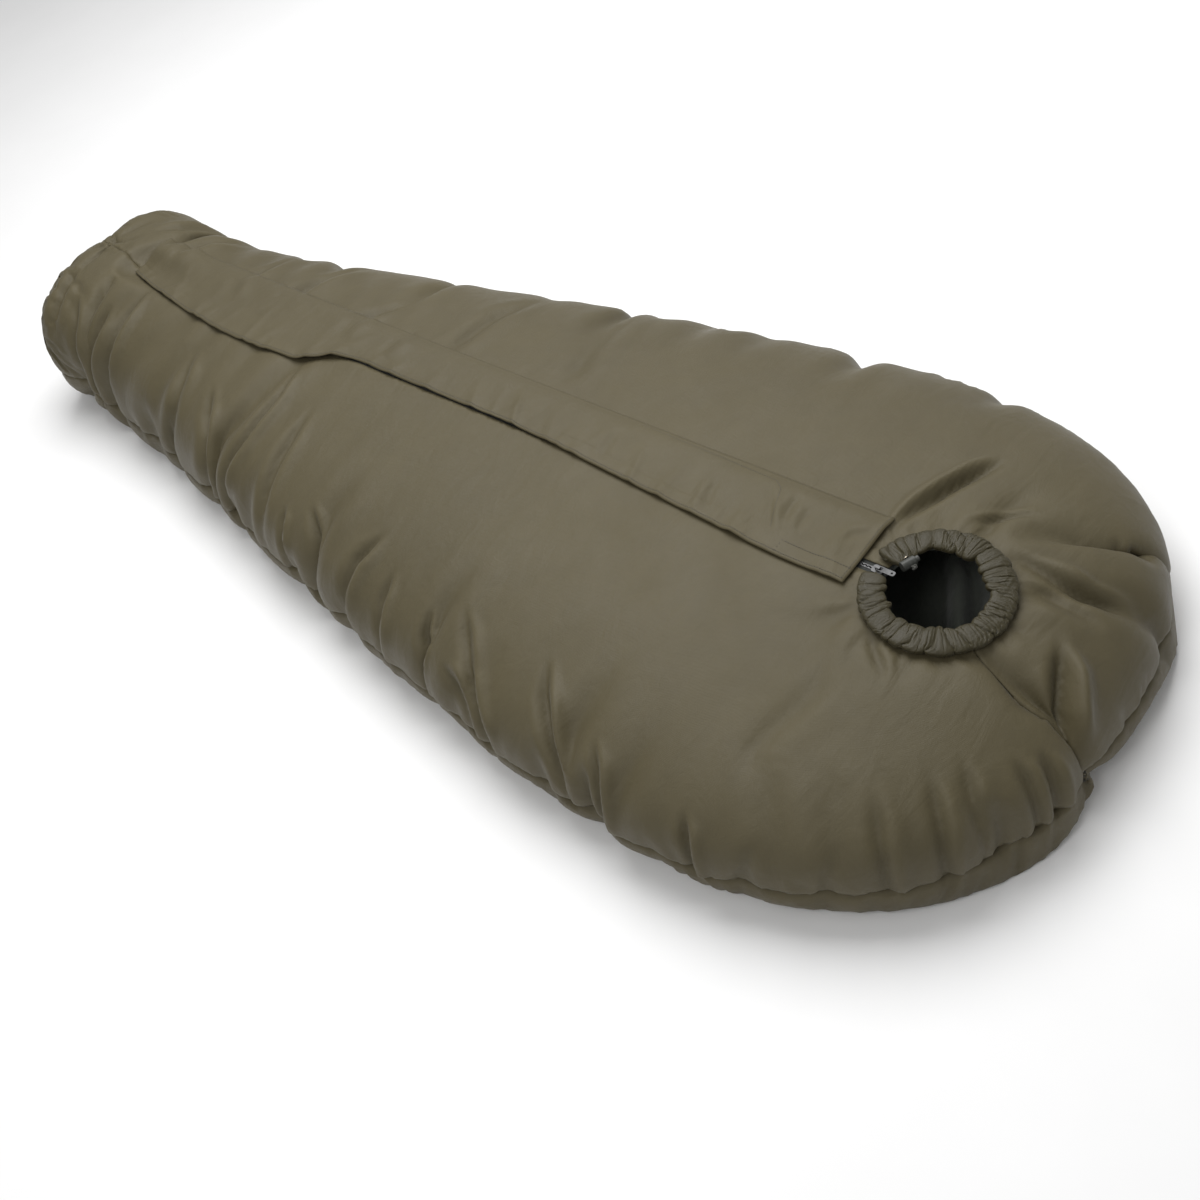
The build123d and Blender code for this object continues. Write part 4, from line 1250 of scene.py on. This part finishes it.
class FlapForm:
    """Where the flap lies on the shell: a grid of plan points, its rows along the bag."""

    def __init__(self, tree):
        self.y = np.linspace(FLAP_FOOT_Y, FLAP_HEAD_Y, 420)
        self.free = free_edge(self.y)
        rest = np.linspace(0, 1, 20)[1:]
        start = self.free - EDGE_COLUMNS[-1]
        inner = start[:, None] + rest * (FLAP_SEWN_X - start)[:, None]
        self.x = np.concatenate([self.free[:, None] - EDGE_COLUMNS, inner], 1)[:, ::-1]
        self.rows = np.broadcast_to(self.y[:, None], self.x.shape)
        under = height_on(tree, self.x, self.rows, ridge_line(self.rows) - 0.001)
        lifted = blurred(highest_near(under, 1), 3)
        sewn = 1 - ramp(self.x, FLAP_SEWN_X, FLAP_SEWN_X + 0.03)
        self.low = np.maximum(lifted * (1 - sewn) + blurred(under, 2) * sewn, under)
        self.low += SEWN_CLEARANCE + (FLAP_CLEARANCE - SEWN_CLEARANCE) * (1 - sewn)
        self.from_edge = self.free[:, None] - self.x
        self.low += (self.ripples() * (1 - sewn) + 0.0004) * ramp(self.rows, FLAP_FOOT_Y, FLAP_FOOT_Y + 0.05)
        x, y = self.x.ravel(), self.rows.ravel()
        creases = np.zeros(len(x))
        for points, depth, *rest in FLAP_FOLDS:
            creases += fold_height(x, y, points, depth, *rest) + 0.6 * depth * crease_bed(x, y, points)
        self.low += np.maximum(creases.reshape(self.x.shape), -0.0012) * (1 - sewn)
        self.low = np.maximum(self.low, under + SEWN_CLEARANCE)

    def ripples(self):
        """Small swells of slack cloth, in from the free edge."""
        rng = np.random.default_rng(37)
        loose, count = np.zeros(self.x.shape), 43
        centres = np.linspace(FLAP_FOOT_Y + 0.05, FLAP_HEAD_Y - 0.02, count) + rng.uniform(-0.02, 0.02, count)
        for centre in centres:
            slant, width = rng.uniform(-0.5, 0.5), rng.uniform(0.006, 0.017)
            apart = np.abs(self.rows - centre - slant * (self.x - FLAP_SEWN_X)) / width
            run = rng.uniform(0.03, 0.12)
            within_run = 1 - ramp(self.from_edge, 0.3 * run, run)
            loose += rng.uniform(0.0010, 0.0042) * np.exp(-apart ** 1.3) * within_run
        return loose

    def height(self, x, y):
        """The flap's underside over a plan point."""
        i = int(np.clip(np.searchsorted(self.y, y), 1, len(self.y) - 1))
        t = (y - self.y[i - 1]) / (self.y[i] - self.y[i - 1])
        pair = [np.interp(x, self.x[k], self.low[k]) for k in (i - 1, i)]
        return pair[0] * (1 - t) + pair[1] * t

    def heights(self, x, y):
        return np.array([self.height(a, b) for a, b in zip(x.ravel(), y.ravel())]).reshape(x.shape)


def stitch_lines():
    """Plan points of each row of stitching on the flap, measured from its edges."""
    head_y, box_y = FLAP_HEAD_Y - 0.005, FLAP_HEAD_Y - BOX_LENGTH
    y = np.linspace(FLAP_FOOT_Y + 0.006, head_y, 240)
    free = free_edge(y)
    box_free = float(free_edge(np.array([box_y]))[0])
    return [
        np.stack([free - EDGE_STITCH, y], 1),
        np.stack([free - BOX_STITCH, y], 1)[y > box_y],
        along([(box_free - EDGE_STITCH, box_y), (box_free - BOX_STITCH, box_y)], 12),
        along([(free[-1] - EDGE_STITCH, head_y), (FLAP_SEWN_X + 0.006, head_y)], 60),
        along([(-0.083, 0.292), (-0.078, 0.440), (-0.073, 0.545), (-0.062, 0.560), (0.004, 0.587)], 90),
    ]


STITCH_PITCH, STITCH_LENGTH, STITCH_RADIUS, STITCH_SIDES = 0.0042, 0.0034, 0.00055, 5
# The rings of one stitch: where along it, the share of its radius, and how far it sinks.
STITCH_RINGS = ((-0.5, 0.35, 0.00018), (-0.32, 1.0, 0.0), (0.32, 1.0, 0.0), (0.5, 0.35, 0.00018))


def build_stitches(lines, place):
    """Short thread capsules along each line of plan points, laid at place(x, y)."""
    co, faces = [], []
    for line in lines:
        for x, y in along(line, max(int(arc_lengths(line)[-1] / STITCH_PITCH), 2)):
            nearest = np.linalg.norm(line - (x, y), axis=1).argmin()
            run_x, run_y = unit(line[min(nearest + 1, len(line) - 1)] - line[max(nearest - 1, 0)])
            start = len(co)
            for offset, share, sink in STITCH_RINGS:
                at_x, at_y = x + run_x * offset * STITCH_LENGTH, y + run_y * offset * STITCH_LENGTH
                at_z = place(at_x, at_y) + 0.0001 - sink
                for k in range(STITCH_SIDES):
                    angle = 2 * math.pi * k / STITCH_SIDES
                    side, rise = (STITCH_RADIUS * share * f(angle) for f in (math.cos, math.sin))
                    co.append((at_x - run_y * side, at_y + run_x * side, at_z + rise))
            faces += [[start + k for k in face] for face in tube_faces(len(STITCH_RINGS), STITCH_SIDES)]
    piece = build("flap_stitching", co, [face[::-1] for face in faces], THREAD, "flap_fabric", body=None)
    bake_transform(piece)


LINING_SHEET, OUTER_LIFT, OUTER_SHEET = 0.0007, 0.0021, 0.0009
HEM_DROP, GROOVE_DEPTH, GROOVE_WIDTH = 0.0019, 0.00045, 0.0009


def sewn_drop(x):
    """How far the flap's outer fabric comes down to the shell at its sewn edge."""
    return 0.0023 * (1 - ramp(x, FLAP_SEWN_X, FLAP_SEWN_X + 0.014))


def build_flap_sheet(name, node, form, low, thick, faces, material):
    """One cloth of the flap: sewn to the bag along one side, and left unattached to either body."""
    made = thicken(grid_points(form.x, form.rows, low + thick), grid_points(form.x, form.rows, low), faces)
    piece = build(name, *made, material, "flap_fabric", [node], body=None)
    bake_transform(piece)


def build_flap(tree):
    """The storm flap: its outer cloth, hemmed and grooved by stitches, its lining, and what they hold."""
    form = FlapForm(tree)
    faces = grid_faces(*form.x.shape)
    free_hem = 1 - ramp(form.from_edge, 0.0, 0.0022)
    head_hem = ramp(form.rows, FLAP_HEAD_Y - 0.0045, FLAP_HEAD_Y)
    foot_hem = 1 - ramp(form.rows, FLAP_FOOT_Y, FLAP_FOOT_Y + 0.0045)
    drop = np.maximum(HEM_DROP * np.maximum.reduce([free_hem, head_hem, foot_hem]), sewn_drop(form.x))
    in_box = form.rows > FLAP_HEAD_Y - BOX_LENGTH
    grooves = [np.exp(-((form.from_edge - inset) / GROOVE_WIDTH) ** 2) for inset in (EDGE_STITCH, BOX_STITCH)]
    low = form.low + OUTER_LIFT - drop - GROOVE_DEPTH * (grooves[0] + grooves[1] * in_box)
    thick = OUTER_SHEET + 0.0003 * np.exp(-((form.from_edge - 0.0026) / 0.0014) ** 2)
    build_flap_sheet("flap_cloth", "flap_outer", form, low, thick, faces, FLAP_CLOTH)
    inside = np.zeros(form.x.shape, bool)
    inside[2:-2, 3:-4] = True
    lining_faces = faces[inside.ravel()[faces].all(1)]
    build_flap_sheet("flap_lining_cloth", "flap_lining", form, form.low, LINING_SHEET, lining_faces,
                     FLAP_LINING_CLOTH)
    build_flap_strip(form)
    build_patches(form)
    top = OUTER_LIFT + OUTER_SHEET - 0.0003
    build_stitches(stitch_lines(), lambda x, y: form.height(x, y) + top - sewn_drop(x))


def build_flap_strip(form):
    """The stiffening tape inside the flap's free edge."""
    y = np.linspace(FLAP_FOOT_Y + 0.01, FLAP_HEAD_Y - 0.01, 400)[:, None]
    x = free_edge(y) + np.linspace(-0.0215, -0.0075, 7)
    y = np.broadcast_to(y, x.shape)
    low = grid_points(x, y, form.heights(x, y) + 0.0009)
    made = thicken(low + (0, 0, 0.0008), low, grid_faces(*x.shape))
    build("stiffener", *made, STIFFENER_TAPE, "binding_tape", ["flap_stiffener"], body="flap")


PATCH_X, PATCH_Y, PATCH_THICK = (0.014, 0.036), (0.617, 0.720), 0.0006


def build_patches(form):
    """Hook pile under the flap, and loop pile on the shell below it, with tufts standing off their tapes."""
    rng = np.random.default_rng(41)
    for name, node, body, offset, direction, material in (
            ("hook_patch", "flap_hook_patch", "flap", -0.0001, -1, HOOK_PILE),
            ("loop_patch", "flap_loop_patch", "bag", -0.0029, 1, LOOP_PILE)):
        x, y = np.meshgrid(np.linspace(*PATCH_X, 34), np.linspace(*PATCH_Y, 150))
        z = form.heights(x, y) + offset
        inside = np.zeros(x.shape)
        inside[2:-2, 2:-2] = 1
        tufts = inside * rng.uniform(0.0, 0.00045, x.shape)
        faces, base, pile = grid_faces(*x.shape), grid_points(x, y, z), z + direction * (PATCH_THICK + tufts)
        top, bottom = (grid_points(x, y, pile), base)[::direction]
        build(name, *thicken(top, bottom, faces), material, "hook_loop", [node], body=body)


# ---------------------------------------------------------------- the face opening
CASING_INNER, CASING_OUTER, CASING_LOW, CASING_HIGH = 0.0660, 0.1030, 0.0012, 0.0165
CASING_GAP = math.radians(10.2)  # on each side of the zip
CASING_PLEATS, CASING_THICK = 26, 0.0009
CASING_SLACK, CASING_GATHER = 1.04, 0.34  # its cloth over its form's size, and what is added round the hole
CASING_LIP, CASING_PUFF_IN = 0.0045, 0.002  # how unevenly its inner edge and its puffs reach into the hole
CASING_WIDE, CASING_TALL = (0.80, 0.18), (0.50, 0.30)  # its share of its room in a pleat, and added at a puff
CASING_SQUARE = 0.75
CASING_END, CASING_END_SHARE = 0.0065, 0.12  # how long its closed ends are, and how flat
EYELET_ANGLE, EYELET_Z, EYELET_HOLD = math.radians(247), 0.0095, 0.007


def from_ring(radius, angle, z):
    """A place beside the hole, from its radius and angle round it and its height off the hood."""
    a, b = radius * np.cos(angle), radius * np.sin(angle)
    co, si = math.cos(RING_TILT), math.sin(RING_TILT)
    return np.stack([a, RING_CENTRE[1] + b * co + z * si, RING_Z - b * si + z * co], -1)


def pleats(angle, count, seed):
    """Puffs of cloth between irregular pleats: 0 in each pleat, up to about 1 between two."""
    rng = np.random.default_rng(seed)
    ends = np.concatenate([[0], np.cumsum(rng.uniform(0.55, 1.45, count))])
    share = (angle - angle.min()) / np.ptp(angle) * ends[-1]
    which = np.clip(np.searchsorted(ends, share, side="right") - 1, 0, count - 1)
    within = np.clip((share - ends[which]) / (ends[which + 1] - ends[which]), 0, 1)
    return rng.uniform(0.6, 1.15, count)[which] * np.sin(np.pi * within) ** 0.6


def flatter(wave, power):
    """A sine or cosine with squarer shoulders, for powers below 1."""
    return np.sign(wave) * np.abs(wave) ** power


def closed_end(share):
    """A quarter circle: 0 at an end, 1 from the share 1 on."""
    return np.sqrt(np.clip(1 - (1 - np.clip(share, 0, 1)) ** 2, 0.0, 1))


def build_casing():
    """The gathered casing: a cloth channel, cut much longer than the rim and crowded onto its drawcord."""
    around, section = 330, 34
    angle = np.linspace(-math.pi / 2 + CASING_GAP, 1.5 * math.pi - CASING_GAP, around)
    turn = np.linspace(0, 2 * math.pi, section, endpoint=False)
    slant = 0.09 * np.sin(3 * angle + 1) + 0.05 * np.sin(7 * angle)
    shifted = angle[:, None] + slant[:, None] * np.cos(turn)
    puff = pleats(shifted, CASING_PLEATS, 51)
    inner_side = np.clip(-np.cos(turn), 0, 1)
    middle, half = (CASING_INNER + CASING_OUTER) / 2, (CASING_OUTER - CASING_INNER) / 2
    height = (CASING_HIGH - CASING_LOW) / 2
    lip = CASING_LIP * np.random.default_rng(53).uniform(-1, 1, CASING_PLEATS)
    reach_in = np.interp(angle, np.linspace(angle[0], angle[-1], CASING_PLEATS), lip)[:, None]
    from_end = np.minimum(angle - angle[0], angle[-1] - angle) * middle
    open_share = np.maximum(closed_end(from_end / CASING_END), CASING_END_SHARE)[:, None]
    across = half * (CASING_WIDE[0] + CASING_WIDE[1] * puff) * flatter(np.cos(turn), CASING_SQUARE)
    across = across - (CASING_PUFF_IN * puff + reach_in) * inner_side
    radius = middle + open_share * across
    tall = CASING_TALL[0] + CASING_TALL[1] * puff
    rise = open_share * height * tall * flatter(np.sin(turn), CASING_SQUARE)
    z = (CASING_LOW + CASING_HIGH) / 2 + rise
    at = np.broadcast_to(angle[:, None], radius.shape)
    flat = from_ring(np.maximum(radius, HOLE_RADIUS), at, 0 * z)
    sag = top_z(flat[..., 0], flat[..., 1]) - flat[..., 2]
    form = from_ring(radius, at, z + sag).reshape(-1, 3)
    quads = grid_faces(around, section, wrap_columns=True)
    triangles = np.concatenate([quads[:, [0, 1, 2]], quads[:, [0, 2, 3]]])
    eyelet = from_ring(CASING_INNER, EYELET_ANGLE, EYELET_Z)
    pinned = np.linalg.norm(form - eyelet, axis=1) < EYELET_HOLD
    run_angle = np.repeat(angle, section)
    tangent = np.stack([-np.sin(run_angle), np.cos(run_angle), 0 * run_angle], 1)

    def gathered(edges):
        run = unit(form[edges[:, 1]] - form[edges[:, 0]])
        return CASING_SLACK + CASING_GATHER * (run * tangent[edges[:, 0]]).sum(1) ** 2

    shape = relax(form, triangles, gathered, pinned, steps=80, hold=0.02, bend=0.06,
                  noise=0.0020, inward=0.0022, outward=0.0034, sideways=0.007, seed=7)
    co, triangles, _ = subdivided(shape, triangles, np.zeros(len(triangles), int))
    inner = co - CASING_THICK * point_normals(co, triangles)
    build("casing", *thicken(co, inner, triangles), CASING_CLOTH, "casing_fabric", ["face_casing"])


KNOT_SCALE, KNOT_CORD_RADIUS, KNOT_SIDES = 0.00105, 0.00135, 10


def build_knot():
    """The knot at the end of the drawcord: a round tube along a trefoil."""
    low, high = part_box("cord_knot")
    t = np.linspace(0, 2 * math.pi, 90, endpoint=False)
    a, b = np.sin(t) + 2 * np.sin(2 * t), np.cos(t) - 2 * np.cos(2 * t)
    trefoil = np.stack([a, b, -1.3 * np.sin(3 * t)], 1)
    line = np.array((low + high) / 2) + trefoil * KNOT_SCALE
    tangent = unit(np.roll(line, -1, axis=0) - np.roll(line, 1, axis=0))
    angle = np.linspace(0, 2 * math.pi, KNOT_SIDES, endpoint=False)[:, None]
    side = np.cross(tangent[0], (0.3, 0.5, 0.8))
    rings = []
    for point, run in zip(line, tangent):
        side = unit(side - run * (side @ run))
        rings.append(point + KNOT_CORD_RADIUS * (np.cos(angle) * side + np.sin(angle) * np.cross(run, side)))
    faces = grid_faces(len(line), KNOT_SIDES, wrap_columns=True, wrap_rows=True)
    build("knot", np.concatenate(rings), faces, CORD_BRAID, "cord_braid", ["cord_knot"])


# ---------------------------------------------------------------- inside the bag
COLLAR_Y, COLLAR_HALF, COLLAR_DEPTHS, COLLAR_PARTING = 0.660, 0.017, (0.0382, 0.054), 0.012
DRAFT_Z, DRAFT_HALF_WIDTH, DRAFT_HALF_HEIGHT = -0.051, 0.030, 0.012
DRAFT_FOOT_Y, DRAFT_HEAD_Y = -0.880, 0.590
POCKET_X, POCKET_Y, POCKET_THICK = (-0.250, -0.090), (0.290, 0.530), 0.0009
PUFF, CRINKLE = 0.12, 0.07  # how much a stuffed tube narrows at its quilting, and how rough it is
TUBE_SIDES = 28


def tube_faces(rings, sides):
    """Faces of a tube stored ring by ring, with both ends closed."""
    last = (rings - 1) * sides
    ends = [list(range(sides))[::-1], list(range(last, last + sides))]
    return grid_faces(rings, sides, wrap_columns=True).tolist() + ends


def padded_tube(line, side, up, halves, quilting, seed):
    """A stuffed tube along a line: puffed between quilting lines, crinkled all over, closed at its ends."""
    rng = np.random.default_rng(seed)
    s = arc_lengths(line)
    turn = np.linspace(0, 2 * math.pi, TUBE_SIDES, endpoint=False)
    puffed = np.abs(np.sin(math.pi * s / quilting)) ** 0.4
    closing = closed_end(np.minimum(s, s[-1] - s) / (1.2 * halves[1]))
    crinkle = 0
    for _ in range(9):
        around, lengthwise, phase = rng.integers(1, 5), rng.uniform(60, 260), rng.uniform(0, 6)
        crinkle = crinkle + rng.uniform(0.4, 1) * np.sin(around * turn + lengthwise * s[:, None] + phase)
    size = (1 - PUFF + PUFF * puffed) * np.maximum(closing, 0.06)
    size = size[:, None] * (1 + CRINKLE * crinkle / 9)
    a, b = (half * size * flatter(wave, 0.8) for half, wave in zip(halves, (np.cos(turn), np.sin(turn))))
    co = line[:, None] + a[..., None] * side + b[..., None] * up[:, None]
    return co.reshape(-1, 3), tube_faces(len(line), TUBE_SIDES)


def build_stuffed(name, line, side, up, halves, quilting, seed, thin, ends, replaced):
    """A padded cover, and its batting: thinner all round, and a few points shorter at both ends."""
    for part, less, inside, material, slot, nodes in (
            ("cloth", 0.0, slice(None), LINING_CLOTH, "liner_fabric", replaced[0]),
            ("batting", thin, slice(ends, -ends), BATTING, "insulation", replaced[1])):
        made = padded_tube(line[inside], side, up[inside], [half - less for half in halves], quilting, seed)
        build(f"{name}_{part}", *made, material, slot, nodes)


def build_draft_tube():
    """The stuffed tube behind the zip."""
    y = np.linspace(DRAFT_FOOT_Y, DRAFT_HEAD_Y, 420)
    line = np.stack([0 * y, y, ridge_line(y) + DRAFT_Z], 1)
    up, halves = np.tile(UP, (len(y), 1)), (DRAFT_HALF_WIDTH, DRAFT_HALF_HEIGHT)
    build_stuffed("draft_tube", line, (1, 0, 0), up, halves, 0.147, 61, 0.0025, 4,
                  (["draft_tube_cover"], ["draft_tube_fill"]))


def collar_line(count):
    """Points round the neck, from one side of the zip to the other, and the way out of the bag at each."""
    depth = sum(COLLAR_DEPTHS) / 2
    half = float(half_width(np.array([COLLAR_Y]))[0]) - depth
    height = float(ridge_height(np.array([COLLAR_Y]))[0]) - depth - SEAM_Z
    turn = np.linspace(0, math.pi / 2, 120)
    power = 2 / SECTION_SHARPNESS
    upper = np.stack([half * np.sin(turn) ** power, SEAM_Z + height * np.cos(turn) ** power], 1)
    foot_half = half * BASE_SHARE + depth * 0.2
    corner_x = foot_half + (half - foot_half) * np.cos(turn)
    corner = np.stack([corner_x, SEAM_Z - (SEAM_Z - depth) * np.sin(turn)], 1)
    right = np.concatenate([upper[upper[:, 0] > COLLAR_PARTING], corner[1:]])
    section = np.concatenate([right, (right * (-1, 1))[::-1]])
    path = along(section, count)
    run = unit(np.gradient(path, axis=0))
    line = np.stack([path[:, 0], np.full(count, COLLAR_Y), path[:, 1]], 1)
    up = np.stack([-run[:, 1], 0 * run[:, 0], run[:, 0]], 1)
    return line, up


def build_collar():
    """The stuffed collar round the neck. Its batting stands for all five of the CAD's chambers."""
    line, up = collar_line(420)
    half_height = (COLLAR_DEPTHS[1] - COLLAR_DEPTHS[0]) / 2
    fills = sorted(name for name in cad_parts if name.startswith("collar_fill"))
    build_stuffed("collar", line, (0, 1, 0), up, (COLLAR_HALF, half_height), 0.130, 71, 0.002, 3,
                  (["collar_cover"], fills))


def build_pocket(lining_tree):
    """A patch pocket hanging on the lining beside the chest, with a hemmed mouth towards the head."""
    x, y = np.meshgrid(np.linspace(*POCKET_X, 54), np.linspace(*POCKET_Y, 80))
    z = np.empty(x.shape)
    for index in np.ndindex(x.shape):
        found = lining_tree.ray_cast(Vector((x[index], y[index], 0.09)), UP)[0]
        z[index] = found.z if found is not None else 0.16
    z = -highest_near(-z, 2)
    across = np.sin(math.pi * (x - POCKET_X[0]) / (POCKET_X[1] - POCKET_X[0]))
    lengthwise = (y - POCKET_Y[0]) / (POCKET_Y[1] - POCKET_Y[0])
    bag = 0.004 * across * np.sqrt(np.clip(lengthwise, 0, 1)) * (0.8 + 0.3 * np.sin(x * 90 + y * 60))
    hem = 0.0006 * np.exp(-((lengthwise - 0.97) / 0.012) ** 2)
    high = blurred(z, 3) - 0.0024 - bag
    top, bottom = grid_points(x, y, high), grid_points(x, y, high - POCKET_THICK - hem)
    made = thicken(top, bottom, grid_faces(*x.shape))
    piece = build("pocket_cloth", *made, LINING_CLOTH, "liner_fabric", ["inner_pocket"])


# ---------------------------------------------------------------- floor and lights
FLOOR_HALF, FLOOR_Z = 14.0, -0.0004
LIGHTS_AIM = Vector((0, 0.1, 0.1))
# Each light's name, place, size and power.
LIGHTS = (("key", (-0.85, -0.45, 2.65), 2.3, 94.0), ("fill", (1.9, 1.0, 2.6), 1.0, 19.0))
DAYLIGHT = 0.40


def build_studio():
    """A pale floor, a broad soft light above the far side and a smaller one opposite."""
    floor_mesh = bpy.data.meshes.new("floor")
    corners = [(FLOOR_HALF * x, FLOOR_HALF * y, FLOOR_Z) for x, y in ((-1, -1), (1, -1), (1, 1), (-1, 1))]
    floor_mesh.from_pydata(corners, [], [(0, 1, 2, 3)])
    floor = put("floor", floor_mesh)
    shader = Shader("floor", 0.9)
    paper = shader.between(shader.noise(5.0), (0.86, 0.86, 0.86, 1), (0.90, 0.90, 0.90, 1))
    floor_mesh.materials.append(shader.done(Base_Color=paper))
    for name, place, size, power in LIGHTS:
        light = bpy.data.lights.new(name, "AREA")
        light.energy, light.size = power, size
        lamp = put(name, light)
        lamp.location = place
        lamp.rotation_euler = (LIGHTS_AIM - lamp.location).to_track_quat("-Z", "Y").to_euler()
    world = bpy.data.worlds.new("studio")
    world.use_nodes = True
    world.node_tree.nodes["Background"].inputs["Color"].default_value = (1, 1, 1, 1)
    world.node_tree.nodes["Background"].inputs["Strength"].default_value = DAYLIGHT
    bpy.context.scene.world = world
    bpy.context.scene.view_settings.view_transform = "Standard"


# ---------------------------------------------------------------- the object
shell_cloth, shell_shape = simulate_shell()
build_panels(("cloth", "shell"), shell_shape, SHELL_THICK, shell_cloth.triangles, panel_marks(shell_cloth),
             SHELL_CLOTH, "shell_fabric")
shell_tree = tree_of(shell_shape, shell_cloth.triangles)
build_seam_tape(shell_tree, shell_shape[shell_cloth.rim])
inner_cloth = sew(LINING_SPACING, LINING_BASE_SPACING)
inner_normals = smooth_normals(inner_cloth, 10)
valleys = valley_depths(inner_cloth, inner_normals, shell_cloth, shell_shape)
batting_form = inner_cloth.co + (valleys - BATTING_DEPTH)[:, None] * inner_normals
batting_form = pressed_in(batting_form, inner_cloth.triangles, inner_normals, shell_shape, BATTING_CLEARANCE)
lining_shape, lining_tree = build_lining(inner_cloth, inner_normals, batting_form)
build_fill(inner_cloth, batting_form, lining_shape)
build_pocket(lining_tree)
build_zip_tapes()
build_flap(shell_tree)
build_casing()
build_knot()
build_draft_tube()
build_collar()
build_studio()
